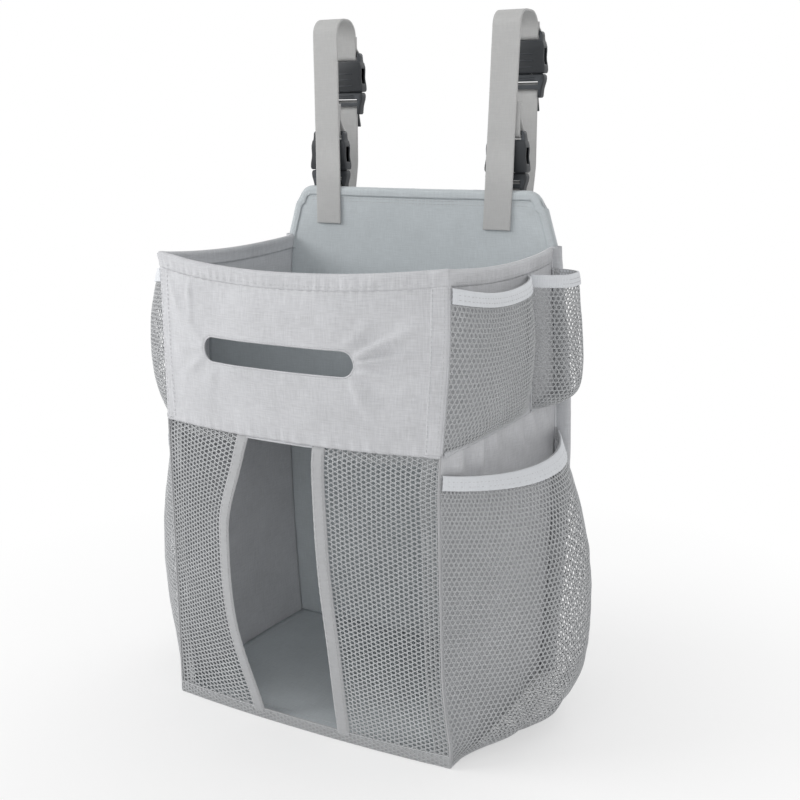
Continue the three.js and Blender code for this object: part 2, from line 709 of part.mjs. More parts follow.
function buckleShell() {
  const half = new THREE.Path();
  half.moveTo(0, 0);
  half.lineTo(BUCKLE_HALF_WIDTH - 2, 0);
  half.quadraticCurveTo(BUCKLE_HALF_WIDTH, 0, BUCKLE_HALF_WIDTH, 3);
  half.bezierCurveTo(BUCKLE_HALF_WIDTH, 7, 17.6, 9, 17.6, 13);
  half.bezierCurveTo(17.6, 17, 18.6, 20, 17, 24);
  half.quadraticCurveTo(15.8, 27, 15.8, 30);
  half.quadraticCurveTo(15.8, SHELL_LENGTH, 12.5, SHELL_LENGTH);
  half.lineTo(0, SHELL_LENGTH);
  const depth = BUCKLE_THICKNESS / 2;
  const strapEnd = SHELL_SLOT[0] - 1;
  const bar = SHELL_BAR_DEPTH / 2;
  const past = BUCKLE_HALF_WIDTH + 1;
  const top = SHELL_LENGTH + 1;
  const [cavity, wide] = [CAVITY_HALF_WIDTH, SLOT_HALF_WIDTH];
  const tools = [
    block([-cavity, -CAVITY_HALF_DEPTH, -1], [cavity, CAVITY_HALF_DEPTH, CAVITY_LENGTH]),
    block([-wide, -depth - 1, SHELL_SLOT[0]], [wide, depth + 1, SHELL_SLOT[1]]),
    block([-past, -WINDOW_HALF_DEPTH, WINDOW[0]], [-cavity + 1, WINDOW_HALF_DEPTH, WINDOW[1]]),
    block([cavity - 1, -WINDOW_HALF_DEPTH, WINDOW[0]], [past, WINDOW_HALF_DEPTH, WINDOW[1]]),
  ];
  // The strap end is thinner than the shell, and its bar thinner still
  const thinned = [[past, STRAP_END_DEPTH / 2, strapEnd], [wide, bar, SHELL_SLOT[1] - 1]];
  for (const [reach, near, low] of thinned) {
    tools.push(block([-reach, near, low], [reach, depth + 1, top]));
    tools.push(block([-reach, -depth - 1, low], [reach, -near, top]));
  }
  return cut(softEdged(mirrored(half), depth), tools);
}

function buckleFork() {
  const fork = new THREE.Path();
  fork.moveTo(0, -2);
  fork.lineTo(15.2, -2);
  fork.lineTo(14.6, 4);
  fork.quadraticCurveTo(16.2, 6, 16.2, 9);
  fork.lineTo(16.2, 14);
  fork.quadraticCurveTo(16, 20, 12.6, 22.4);
  fork.quadraticCurveTo(10.6, 22.4, 11, 19);
  fork.bezierCurveTo(12.4, 12, 11.2, 6, 10, 1);
  fork.quadraticCurveTo(8.6, -0.6, 5.4, -0.6);
  fork.quadraticCurveTo(3.4, 0, 3.2, 3);
  fork.lineTo(2.4, 17);
  fork.quadraticCurveTo(1.8, 19, 0, 19);
  return upright(mirrored(fork), -FORK_DEPTH / 2, FORK_DEPTH / 2);
}

function buckleTab() {
  const profile = new THREE.Shape();
  profile.moveTo(0.4, -19);
  profile.lineTo(3.3, -17.4);
  profile.quadraticCurveTo(4.6, -22, 6.6, -29.4);
  profile.quadraticCurveTo(6, -30.6, 5, -30);
  profile.quadraticCurveTo(3.2, -24, 1.6, -20.6);
  return sideways(profile, 2 * TAB_HALF_WIDTH);
}

function buckleMale() {
  const half = new THREE.Path();
  half.moveTo(0, -19.5);
  half.lineTo(14, -19.5);
  half.quadraticCurveTo(16, -19.5, 16, -17);
  half.bezierCurveTo(16, -10, 18.6, -8, 18.6, -4);
  half.quadraticCurveTo(18.6, -0.6, 16.4, -0.6);
  half.lineTo(0, -0.6);
  const base = softEdged(mirrored(half), BASE_DEPTH / 2);
  const [upper, lower] = LADDER_SLOTS;
  const wide = SLOT_HALF_WIDTH;
  const ladder = cut(base, [
    block([-wide, -8, upper[0]], [wide, 8, upper[1]]),
    block([-wide, -8, lower[0]], [wide, 8, lower[1]]),
    block([-wide, MID_BAR_REAR, lower[1] - 1], [wide, 8, upper[0] + 1]),
    block([-wide, -8, -21], [wide, END_BAR_FRONT, lower[0] + 1]),
  ]);
  return join([ladder, buckleFork(), buckleTab()]);
}

function addHanger(hanger) {
  const group = new THREE.Group();
  group.position.x = hanger.x;
  bag.add(group);
  const upperPlane = hanger.depth + WRAP_RADIUS;
  const rear = threadedWebbing(REAR_SEWN, REAR_STRAIGHT_TO, upperPlane, hanger.upperMouth, 8);
  const anchor = threadedWebbing(ANCHOR_SEWN, ANCHOR_SEWN[1] + 22, LOWER_BUCKLE_Y, LOWER_MOUTH, 10);
  addPiece(group, `${hanger.name}_main_webbing`, mainWebbing(hanger), WEBBING_FINISH);
  addPiece(group, `${hanger.name}_keeper_webbing`, keeperWebbing(), WEBBING_FINISH);
  addPiece(group, `${hanger.name}_rear_webbing`, rear, WEBBING_FINISH);
  addPiece(group, `${hanger.name}_anchor_webbing`, anchor, WEBBING_FINISH);
  const places = [["upper", upperPlane, hanger.upperMouth], ["lower", LOWER_BUCKLE_Y, LOWER_MOUTH]];
  for (const [name, y, z] of places) {
    const shell = addPiece(group, `${hanger.name}_${name}_buckle_shell`, buckleShell(), BUCKLE_FINISH);
    const male = addPiece(group, `${hanger.name}_${name}_buckle_male`, buckleMale(), BUCKLE_FINISH);
    shell.position.set(0, y, z);
    male.position.set(0, y, z);
  }
}

addBackPanel();
addWalls();
addFloor("shelf", SHELF_HEIGHT - BOARD / 2 - SEAM_GAP - PLY, SHELF_HEIGHT);
addFloor("base", 0, 0);
addLowerFront();
addPockets();
HANGERS.forEach(addHanger);

const organizer = new THREE.Group();
bag.position.set(-FOOTPRINT_CENTRE.x, -FOOTPRINT_CENTRE.y, 0);
organizer.add(bag);
organizer.updateMatrixWorld(true);

export default organizer;
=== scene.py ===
"""A bedside hanging organizer, dressed in woven cloth, knitted net, webbing and moulded buckles.

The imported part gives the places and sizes. Each class below makes one sub-assembly around it.
Sizes in the classes are millimetres in the bag's own axes: X right, Y back from the front ply
of the back panel, Z up. They become metres in the part's frame when a mesh is finished.
"""

import logging
from bisect import bisect_left
from dataclasses import dataclass, field
from enum import Enum
from functools import partial
from math import ceil, cos, exp, hypot, pi, radians, sin, sqrt
from typing import Callable, Iterable, Sequence

import bmesh
import bpy
from bmesh.types import BMEdge, BMFace, BMLayerItem, BMVert, BMesh
from bpy.types import Material, Node, NodeSocket, Object
from mathutils import Matrix, Vector, noise
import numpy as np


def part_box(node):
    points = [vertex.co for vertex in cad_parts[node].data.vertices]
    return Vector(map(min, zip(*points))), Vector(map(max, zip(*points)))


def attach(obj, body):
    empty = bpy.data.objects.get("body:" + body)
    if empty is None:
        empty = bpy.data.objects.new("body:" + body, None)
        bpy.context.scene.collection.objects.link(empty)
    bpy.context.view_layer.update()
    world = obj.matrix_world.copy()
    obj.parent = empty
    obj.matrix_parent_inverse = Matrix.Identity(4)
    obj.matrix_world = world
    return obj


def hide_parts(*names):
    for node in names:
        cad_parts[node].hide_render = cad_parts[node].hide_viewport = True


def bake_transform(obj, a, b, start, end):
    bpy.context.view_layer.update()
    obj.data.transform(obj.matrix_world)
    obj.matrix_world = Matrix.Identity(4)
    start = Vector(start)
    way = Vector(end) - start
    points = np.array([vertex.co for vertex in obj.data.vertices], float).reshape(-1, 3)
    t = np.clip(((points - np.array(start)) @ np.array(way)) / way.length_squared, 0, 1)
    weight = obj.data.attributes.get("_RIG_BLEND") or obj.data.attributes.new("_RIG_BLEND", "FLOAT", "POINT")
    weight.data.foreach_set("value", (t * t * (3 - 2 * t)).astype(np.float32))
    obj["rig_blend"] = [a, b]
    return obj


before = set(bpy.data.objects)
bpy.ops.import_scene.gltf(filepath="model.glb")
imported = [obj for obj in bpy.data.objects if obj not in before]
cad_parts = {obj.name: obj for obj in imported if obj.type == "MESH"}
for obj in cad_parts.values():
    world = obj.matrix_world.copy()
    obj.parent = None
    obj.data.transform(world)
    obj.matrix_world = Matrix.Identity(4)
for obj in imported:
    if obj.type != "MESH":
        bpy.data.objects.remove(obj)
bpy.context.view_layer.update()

log = logging.getLogger("organizer")

MM = 0.001
LOW, HIGH = 0, 1
X, Y, Z = 0, 1, 2
SIDES = (("left", -1), ("right", 1))
PANEL_REAR_FACE = 0.6
SEAM_GAP = 0.3
FOOT_LEANS = {"left": 1.4, "right": -6.6}
JOIN = 0.02 * MM
BAG = "bag"
UV_NAME = "cloth"
WHITE = (1.0, 1.0, 1.0, 1.0)
FORWARD = Vector((0, -1, 0))
UPWARD = Vector((0, 0, 1))

Place = Callable[[float, float], Vector]
Line = Callable[[float], Vector]
Edge = Callable[[float], float]
Run = tuple[Line, Vector]
Rgb = tuple[float, float, float]
Spot = tuple[float, float]


def edge_of(node: str, end: int, axis: int) -> float:
    """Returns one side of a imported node's box along one axis, in millimetres."""
    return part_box(node)[end][axis] / MM


def middle_of(node: str, axis: int) -> float:
    """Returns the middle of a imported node's box along one axis, in millimetres."""
    return (edge_of(node, LOW, axis) + edge_of(node, HIGH, axis)) / 2


BAG_ORIGIN = Vector(
    (middle_of("back_panel_rear_ply", X), edge_of("back_panel_rear_ply", HIGH, Y) - PANEL_REAR_FACE, 0.0)
)


def lerp(low: float, high: float, share: float) -> float:
    """Returns the value at a share of the way from low to high."""
    return low + (high - low) * share


def clamp(value: float, low: float = 0.0, high: float = 1.0) -> float:
    """Returns the value held between two limits."""
    return max(low, min(high, value))


def smooth_step(low: float, high: float, value: float) -> float:
    """Returns 0 below low, 1 above high and an eased value between."""
    share = clamp((value - low) / (high - low))
    return share * share * (3 - 2 * share)


def rumple(x: float, z: float, size: float, seed: float) -> float:
    """Returns soft unevenness from -1 to 1 whose lumps are about size millimetres wide."""
    return noise.noise(Vector((x / size, seed, z / size)))


def to_frame(point: Vector) -> Vector:
    """Turns a point of the bag, in millimetres, into the part's frame, in metres."""
    return (point + BAG_ORIGIN) * MM


@dataclass(frozen=True)
class Waist:
    """How far the bag's front is drawn to the left below its shelf, and out again at its base."""

    pull: float = 7.3
    kick: float = 4.0
    kick_height: float = 75.0
    low: float = 20.0
    height: float = 215.0
    fade: Spot = (200.0, 330.0)
    curve: float = 0.6
    depth: float = 185.0
    half_width: float = 125.0

    def draw_in(self, point: Vector) -> Vector:
        """Draws a point of the bag in.

        Args:
            point: in millimetres.

        Returns:
            The point, drawn in.
        """
        rise = clamp((point.z - self.low) / (self.height - self.low)) ** self.curve
        rise *= 1 - smooth_step(*self.fade, point.z)
        across = (1 + clamp(point.x / self.half_width, -1.0)) / 2
        shift = self.pull * rise - self.kick * (1 - smooth_step(0, self.kick_height, point.z)) * across**3
        return point - Vector((shift * clamp(-point.y / self.depth) * across, 0, 0))


WAIST = Waist()


def sewn(point: Vector) -> Vector:
    """Turns a point of the bag's cloth, drawn in at the waist, into the part's frame, in metres."""
    return to_frame(WAIST.draw_in(point))


@dataclass(frozen=True)
class Bow:
    """A tape's bend to one side, with how it fades below and above its fullest."""

    reach: float
    height: float
    spread: Spot
    power: Spot = (2.0, 2.0)

    def at(self, z: float) -> float:
        """Returns the bend at a height."""
        end = HIGH if z > self.height else LOW
        return self.reach * exp(-((abs(z - self.height) / self.spread[end]) ** self.power[end]))


@dataclass(frozen=True)
class BagForm:
    """The filled shape that the bag's panels follow."""

    width: float = 250.0
    depth: float = 185.0
    rim_height: float = 372.0
    rim_dip: float = 7.0
    shelf_height: float = 240.0
    panel_top: float = field(default_factory=lambda: edge_of("back_panel_front_ply", HIGH, Z))
    panel_top_half_width: float = 117.0
    overhang_low: float = 8.5
    overhang_rim: float = 4.0
    overhang_fade: float = 250.0
    panel_front: float = -4.6
    rear_half_width: float = 126.0
    rear_flare: float = 8.5
    side_dip: float = 5.0
    side_crown: float = 3.0
    belly_at_base: float = 5.0
    belly_at_shelf: float = 14.0
    belly_at_rim: float = 20.0
    lower_belly_crown: float = 11.0
    upper_belly_crown: float = 6.0
    belly_roundness: float = 2.2
    rim_inset: float = 0.4
    left_tape: float = -39.0
    left_bow: Bow = Bow(-20.5, 160.0, (122.6, 52.0), (4.1, 2.0))
    right_tape: float = 37.5
    right_bow: Bow = Bow(3.5, 72.0, (62.0, 62.0))
    right_slant: float = 8.5

    @property
    def half_width(self) -> float:
        """Half the width of the bag's front."""
        return self.width / 2

    @property
    def wall_rear(self) -> float:
        """Depth at which the walls meet the back panel."""
        return self.panel_front - SEAM_GAP

    def belly(self, z: float) -> float:
        """Finds how far the middle of the front stands out.

        Args:
            z: height.

        Returns:
            The distance.
        """
        if z < self.shelf_height:
            share = z / self.shelf_height
            rise = lerp(self.belly_at_base, self.belly_at_shelf, share)
            return rise + self.lower_belly_crown * sin(pi * share)
        share = min(1.0, (z - self.shelf_height) / (self.rim_height - self.shelf_height))
        rise = lerp(self.belly_at_shelf, self.belly_at_rim, share)
        return rise + self.upper_belly_crown * sin(pi * share)

    def front_y(self, x: float, z: float) -> float:
        """Returns the depth of the front at a place."""
        across = min(1.0, abs(x) / self.half_width)
        return -self.depth - self.belly(z) * (1 - across**self.belly_roundness)

    def rear_x(self, z: float) -> float:
        """Returns half the bag's width along the back panel."""
        return self.rear_half_width + self.rear_flare * sin(pi * min(1.0, z / self.rim_height))

    def side_x(self, y: float, z: float) -> float:
        """Returns half the bag's width at a depth and height."""
        share = clamp((y + self.depth) / self.depth)
        return lerp(self.half_width, self.rear_x(z), share) + self.side_crown * sin(pi * share)

    def rim_z(self, x: float) -> float:
        """Returns the height of the front rim, which dips in the middle."""
        across = min(1.0, abs(x) / self.half_width)
        return self.rim_height - self.rim_inset - self.rim_dip * (1 - across**2)

    def panel_x(self, z: float) -> float:
        """Finds half the width of the back panel.

        Args:
            z: height.

        Returns:
            Half the width.
        """
        if z <= self.rim_height:
            share = smooth_step(self.overhang_fade, self.rim_height, z)
            return self.rear_x(z) + lerp(self.overhang_low, self.overhang_rim, share)
        share = (z - self.rim_height) / (self.panel_top - self.rim_height)
        return lerp(self.rear_half_width + self.overhang_rim, self.panel_top_half_width, share)

    def side_rim_z(self, y: float) -> float:
        """Returns the height of a side wall's rim, which hangs a little between its ends."""
        share = clamp(-y / self.depth)
        return self.rim_height - self.rim_inset - self.side_dip * sin(pi * share) ** 0.8

    def left_tape_x(self, z: float) -> float:
        """Returns the middle of the bowed left tape."""
        return self.left_tape + self.left_bow.at(z)

    def right_tape_x(self, z: float) -> float:
        """Returns the middle of the right tape."""
        return self.right_tape + self.right_bow.at(z) - self.right_slant * (z / self.shelf_height) ** 3


class Value:
    """A number that varies over a surface. Arithmetic on it adds Math nodes."""

    def __init__(self, nodes: "NodeTree", socket: NodeSocket) -> None:
        """Keeps the socket and the node tree that it belongs to."""
        self.nodes = nodes
        self.socket = socket

    def __add__(self, other: "Value | float") -> "Value":
        """Returns self + other."""
        return self.nodes.maths("ADD", self, other)

    def __sub__(self, other: "Value | float") -> "Value":
        """Returns self - other."""
        return self.nodes.maths("SUBTRACT", self, other)

    def __rsub__(self, other: float) -> "Value":
        """Returns other - self."""
        return self.nodes.maths("SUBTRACT", other, self)

    def __mul__(self, other: "Value | float") -> "Value":
        """Returns self * other."""
        return self.nodes.maths("MULTIPLY", self, other)

    __radd__ = __add__
    __rmul__ = __mul__

    def sine(self) -> "Value":
        """Returns the sine of the value."""
        return self.nodes.maths("SINE", self, 0.0)

    def wave(self, period: float) -> "Value":
        """Returns a wave from 0 to 1 that repeats every period."""
        return (self * (2 * pi / period)).sine() * 0.5 + 0.5

    def folded(self, width: float) -> "Value":
        """Returns the value folded to and fro between 0 and width."""
        return self.nodes.maths("PINGPONG", self, width)

    def held(self) -> "Value":
        """Returns the value held between 0 and 1."""
        return self.nodes.maths("MINIMUM", self.nodes.maths("MAXIMUM", self, 0.0), 1.0)


class NodeTree:
    """A tree of shader nodes."""

    def __init__(self, tree: bpy.types.NodeTree) -> None:
        """Empties the tree and keeps it."""
        self.tree = tree
        self.tree.nodes.clear()

    def node(
        self, kind: str, settings: dict[str, object] | None = None, inputs: dict[object, object] | None = None
    ) -> Node:
        """Adds a node.

        Args:
            kind: the node's type.
            settings: attributes that are set first.
            inputs: values or links for its sockets, by name or number.

        Returns:
            The new node.
        """
        made = self.tree.nodes.new(kind)
        for key, value in (settings or {}).items():
            setattr(made, key, value)
        for key, value in (inputs or {}).items():
            self.feed(made.inputs[key], value)
        return made

    def feed(self, socket: NodeSocket, value: object) -> None:
        """Sets or links a socket.

        Args:
            socket: which is fed.
            value: a number, a colour, a value or a socket.
        """
        if isinstance(value, Value):
            self.tree.links.new(value.socket, socket)
        elif isinstance(value, NodeSocket):
            self.tree.links.new(value, socket)
        else:
            socket.default_value = value

    def maths(self, operation: str, first: "Value | float", second: "Value | float") -> Value:
        """Adds a Math node and returns its result."""
        made = self.node("ShaderNodeMath", {"operation": operation}, {0: first, 1: second})
        return Value(self, made.outputs[0])

    def seen(self) -> Value:
        """Tells rays that show a surface from rays that light with it.

        Returns:
            1 for rays from the camera, off gloss and through glass, and 0 for others.
        """
        path = self.node("ShaderNodeLightPath")
        rays = [Value(self, path.outputs[f"Is {kind} Ray"]) for kind in ("Camera", "Glossy", "Transmission")]
        return (rays[0] + rays[1] + rays[2]).held()

    def mixed(self, share: Value, first: Node, second: Node) -> NodeSocket:
        """Mixes two shaders."""
        inputs = {0: share, 1: first.outputs[0], 2: second.outputs[0]}
        return self.node("ShaderNodeMixShader", inputs=inputs).outputs[0]


class Shader(NodeTree):
    """A node material with one Principled surface."""

    def __init__(self, name: str) -> None:
        """Starts a material.

        Args:
            name: of the material.
        """
        self.material = bpy.data.materials.new(name)
        self.material.use_nodes = True
        super().__init__(self.material.node_tree)
        self.surface = self.node("ShaderNodeBsdfPrincipled")
        self.output = self.node("ShaderNodeOutputMaterial", inputs={"Surface": self.surface.outputs["BSDF"]})

    def cloth_axes(self) -> tuple[Value, Value]:
        """Reads the place on the flat cloth.

        Returns:
            The places across and along, in millimetres.
        """
        place = self.node("ShaderNodeUVMap", {"uv_map": UV_NAME}).outputs["UV"]
        split = self.node("ShaderNodeSeparateXYZ", inputs={0: place})
        return Value(self, split.outputs[0]) * 1000.0, Value(self, split.outputs[1]) * 1000.0

    def point(self, x: Value | float, y: Value | float, z: Value | float = 0.0) -> NodeSocket:
        """Joins three values into a vector."""
        return self.node("ShaderNodeCombineXYZ", inputs={0: x, 1: y, 2: z}).outputs[0]

    def grain(self, place: NodeSocket, scale: float, detail: float = 2.0) -> Value:
        """Returns noise from 0 to 1 at a place."""
        inputs = {"Vector": place, "Scale": scale, "Detail": detail, "Roughness": 0.55}
        return Value(self, self.node("ShaderNodeTexNoise", inputs=inputs).outputs[0])

    def object_place(self) -> NodeSocket:
        """Returns the place in the part's frame, in metres."""
        return self.node("ShaderNodeTexCoord").outputs["Object"]

    def blend(self, share: Value, dark: Rgb, light: Rgb) -> NodeSocket:
        """Mixes two colours by the light one's share."""
        inputs = {0: share, 6: (*dark, 1.0), 7: (*light, 1.0)}
        return self.node("ShaderNodeMix", {"data_type": "RGBA", "clamp_factor": True}, inputs).outputs[2]

    def relief(self, height: Value, depth_mm: float) -> None:
        """Raises the surface's detail by a height from 0 to 1, of which 1 stands out by the depth."""
        bump = self.node("ShaderNodeBump", inputs={"Height": height, "Strength": 1.0, "Distance": depth_mm * MM})
        self.feed(self.surface.inputs["Normal"], bump.outputs[0])

    def set(self, **values: object) -> None:
        """Sets or links the surface's sockets; underscores stand for spaces."""
        for name, value in values.items():
            self.feed(self.surface.inputs[name.replace("_", " ")], value)


def shade(colour: Rgb, amount: float) -> Rgb:
    """Returns a colour made lighter or darker by a factor."""
    red, green, blue = (min(1.0, part * amount) for part in colour)
    return (red, green, blue)


class Weave(Enum):
    """How the threads of a woven piece lie."""

    PLAIN = "plain"
    HERRINGBONE = "herringbone"
    CROSS_RIB = "cross rib"
    LONG_RIB = "long rib"


@dataclass(frozen=True)
class Finish:
    """What a piece is made of: its name, its slot and its colour."""

    name: str
    slot: str
    colour: Rgb

    def build(self) -> Material:
        """Returns the finish's material."""
        raise NotImplementedError


@dataclass(frozen=True)
class ClothFinish(Finish):
    """A woven textile whose pattern follows the cloth."""

    weave: Weave = Weave.PLAIN
    pitch: float = 0.9
    slub: float = 0.1
    depth: float = 0.12
    sheen: float = 0.15

    def weave_height(self, shader: Shader, across: Value, along: Value) -> Value:
        """Finds the height of the threads.

        Args:
            shader: of the cloth.
            across: place across.
            along: place along.

        Returns:
            The height, from 0 to 1.
        """
        if self.weave is Weave.HERRINGBONE:
            slant = across.folded(self.pitch * 4) * 0.9 + along
            return slant.wave(self.pitch)
        if self.weave is Weave.CROSS_RIB:
            return along.wave(self.pitch) * 0.8 + across.wave(self.pitch * 0.6) * 0.2
        if self.weave is Weave.LONG_RIB:
            return across.wave(self.pitch) * 0.75 + along.wave(self.pitch * 0.7) * 0.25
        return across.wave(self.pitch) * 0.5 + along.wave(self.pitch) * 0.5

    def build(self) -> Material:
        """Makes the finish.

        Returns:
            Its material.
        """
        shader = Shader(self.name)
        across, along = shader.cloth_axes()
        streaks = shader.grain(shader.point(across * 0.09, along * 1.1), 1.0, 3.0)
        threads = shader.grain(shader.point(across * 1.1, along * 0.09, 4.0), 1.0, 3.0)
        patches = shader.grain(shader.point(across * 0.03, along * 0.03, 9.0), 1.0)
        height = self.weave_height(shader, across, along)
        slub = (streaks + threads) * 0.5
        tone = slub * 0.62 + patches * 0.2 + height * 0.18
        spread = self.slub * 2.4
        share = ((tone - 0.5) * 2.2 + 0.5).held()
        dark, light = shade(self.colour, 1 - spread), shade(self.colour, 1 + spread)
        shader.set(Base_Color=shader.blend(share, dark, light))
        shader.set(Roughness=(slub * 0.16 + 0.8).held())
        shader.set(Sheen_Weight=self.sheen, Sheen_Roughness=0.5)
        shader.set(Specular_IOR_Level=0.25)
        shader.relief(height * 0.6 + slub * 0.4, self.depth)
        return shader.material


@dataclass(frozen=True)
class NetFinish(Finish):
    """Knitted polyester net: smooth yarn with a soft gloss."""

    def build(self) -> Material:
        """Makes the finish.

        Returns:
            Its material.
        """
        shader = Shader(self.name)
        across, along = shader.cloth_axes()
        yarn = shader.grain(shader.point(across * 1.7, along * 0.6), 1.0, 3.0)
        patches = shader.grain(shader.point(across * 0.02, along * 0.02, 3.0), 1.0)
        share = (yarn * 0.7 + patches * 0.3 - 0.5) * 2.0 + 0.5
        shader.set(Base_Color=shader.blend(share.held(), shade(self.colour, 0.82), shade(self.colour, 1.16)))
        shader.set(Roughness=(yarn * 0.2 + 0.55).held(), Specular_IOR_Level=0.35, Sheen_Weight=0.1)
        shader.relief(yarn, 0.1)
        return shader.material


@dataclass(frozen=True)
class ThreadFinish(Finish):
    """Twisted sewing thread."""

    def build(self) -> Material:
        """Makes the finish.

        Returns:
            Its material.
        """
        shader = Shader(self.name)
        twist = shader.grain(shader.object_place(), 2400.0, 1.0)
        shader.set(Base_Color=shader.blend(twist, shade(self.colour, 0.8), shade(self.colour, 1.12)))
        shader.set(Roughness=twist * 0.2 + 0.6, Specular_IOR_Level=0.3)
        shader.relief(twist, 0.05)
        return shader.material


@dataclass(frozen=True)
class MouldedFinish(Finish):
    """Moulded plastic: fine grain, and edges rubbed smoother and paler."""

    roughness: float = 0.42
    grain_depth: float = 0.05

    def build(self) -> Material:
        """Makes the finish.

        Returns:
            Its material.
        """
        shader = Shader(self.name)
        place = shader.object_place()
        grain = shader.grain(place, 1800.0, 2.0)
        clouds = shader.grain(place, 90.0, 3.0)
        point = self.pointed(shader)
        worn = (point * (clouds + 0.4)).held()
        shader.set(Base_Color=shader.blend(worn, self.colour, shade(self.colour, 2.3)))
        shader.set(Roughness=(clouds * 0.16 - worn * 0.1 + (self.roughness - 0.06)).held())
        shader.set(Specular_IOR_Level=0.4)
        shader.relief(grain, self.grain_depth)
        return shader.material

    def pointed(self, shader: Shader) -> Value:
        """Returns 1 on outward edges and 0 on flats."""
        sharp = Value(shader, shader.node("ShaderNodeNewGeometry").outputs["Pointiness"])
        return ((sharp - 0.52) * 9.0).held()


SHELL = ClothFinish("woven_shell", "shell_fabric", (0.61, 0.615, 0.635), slub=0.105)
LINING = ClothFinish("woven_lining", "lining_fabric", (0.575, 0.615, 0.635), pitch=0.7, slub=0.07)
TAPE = ClothFinish("grosgrain_tape", "binding_tape", (0.47, 0.475, 0.485), Weave.CROSS_RIB, 0.8, 0.05, 0.18)
EDGING = ClothFinish("woven_edging", "binding_tape", (0.56, 0.57, 0.59), slub=0.09)
PIPING = ClothFinish("woven_piping", "binding_tape", (0.70, 0.71, 0.73), slub=0.05)
BAND = ClothFinish("woven_elastic", "elastic_band", (0.77, 0.79, 0.82), Weave.LONG_RIB, 1.3, 0.04, 0.22)
STRAP = ClothFinish("strap_webbing", "webbing", (0.53, 0.53, 0.525), Weave.HERRINGBONE, 1.1, 0.05, 0.2)
NET = NetFinish("knitted_net", "mesh_net", (0.53, 0.54, 0.55))
THREAD = ThreadFinish("sewing_thread", "binding_tape", (0.60, 0.605, 0.62))
BUCKLE = MouldedFinish("buckle_acetal", "buckle_plastic", (0.028, 0.031, 0.035), 0.52)
BOARD = MouldedFinish("stiffener_sheet", "stiffener_board", (0.24, 0.245, 0.25), 0.7, 0.1)


@dataclass
class Wardrobe:
    """Makes each finish once and puts pieces on their bodies."""

    made: dict[str, Material] = field(default_factory=dict)
    count: int = 0

    def material(self, finish: Finish) -> Material:
        """Makes a finish's material the first time it is asked for.

        Args:
            finish: the finish.

        Returns:
            The material.
        """
        if finish.name not in self.made:
            self.made[finish.name] = finish.build()
        return self.made[finish.name]

    def cover(self, piece: Object, finish: Finish) -> None:
        """Gives a piece its material.

        Args:
            piece: the piece.
            finish: what it is made of.
        """
        piece.data.materials.clear()
        piece.data.materials.append(self.material(finish))
        log.info("%s: %d faces, %s", piece.name, len(piece.data.polygons), finish.name)

    def dress(self, piece: Object, finish: Finish, nodes: Sequence[str] = (), body: str = BAG) -> None:
        """Gives a new piece its finish and body.

        Args:
            piece: the finished object.
            finish: what it is made of.
            nodes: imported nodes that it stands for.
            body: the body that it rides on.
        """
        self.cover(piece, finish)
        if nodes:
            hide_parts(*nodes)
        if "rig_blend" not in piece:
            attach(piece, body)
        self.count += 1


def finished(name: str, work: BMesh, smooth: bool = True) -> Object:
    """Turns a bmesh into an object of the scene.

    Args:
        name: the piece's name.
        work: its bmesh, in metres in the part's frame, which is freed.
        smooth: whether its faces are shaded smooth.

    Returns:
        The new object.
    """
    for face in work.faces:
        face.smooth = smooth
    mesh = bpy.data.meshes.new(name)
    work.to_mesh(mesh)
    work.free()
    piece = bpy.data.objects.new(name, mesh)
    bpy.context.scene.collection.objects.link(piece)
    return piece


def thicken(piece: Object, thickness: float, rounded: float = 0.0) -> Object:
    """Gives a sheet its thickness about its middle, with rounded edges if asked.

    Args:
        piece: a sheet.
        thickness: in millimetres.
        rounded: radius of its edges, in millimetres.

    Returns:
        The piece.
    """
    solid = piece.modifiers.new("thickness", "SOLIDIFY")
    solid.thickness = thickness * MM
    solid.offset = 0.0
    if rounded:
        bevel = piece.modifiers.new("rounded_edge", "BEVEL")
        bevel.width = rounded * MM
        bevel.segments = 2
        bevel.limit_method = "ANGLE"
        bevel.angle_limit = radians(50)
        bevel.harden_normals = False
    return piece


def travelled(points: Sequence[Vector]) -> list[float]:
    """Measures the way along a row of points.

    Args:
        points: the row.

    Returns:
        The distance from the first point to each.
    """
    total = [0.0]
    for before, after in zip(points, points[1:]):
        total.append(total[-1] + (after - before).length)
    return total


def share_at(table: Sequence[float], travel: float) -> float:
    """Finds where a share of the whole way is reached.

    Args:
        table: distances at evenly spaced shares of a surface.
        travel: share of the whole distance.

    Returns:
        The surface's share there.
    """
    wanted, steps = clamp(travel) * table[-1], len(table) - 1
    index = min(max(0, bisect_left(table, wanted) - 1), steps - 1)
    span = max(1e-9, table[index + 1] - table[index])
    return (index + (wanted - table[index]) / span) / steps


def even(place: Place, across_at: float = 0.5) -> tuple[Place, Spot]:
    """Spreads a surface's two shares evenly over its real lengths.

    Args:
        place: the surface.
        across_at: share up at which its width is measured.

    Returns:
        The evened surface, and its flat width and height in millimetres.
    """
    steps = 80
    shares = [index / steps for index in range(steps + 1)]
    wide = travelled([place(share, across_at) for share in shares])
    high = travelled([place(0.5, share) for share in shares])
    return (lambda u, v: place(share_at(wide, u), share_at(high, v))), (wide[-1], high[-1])


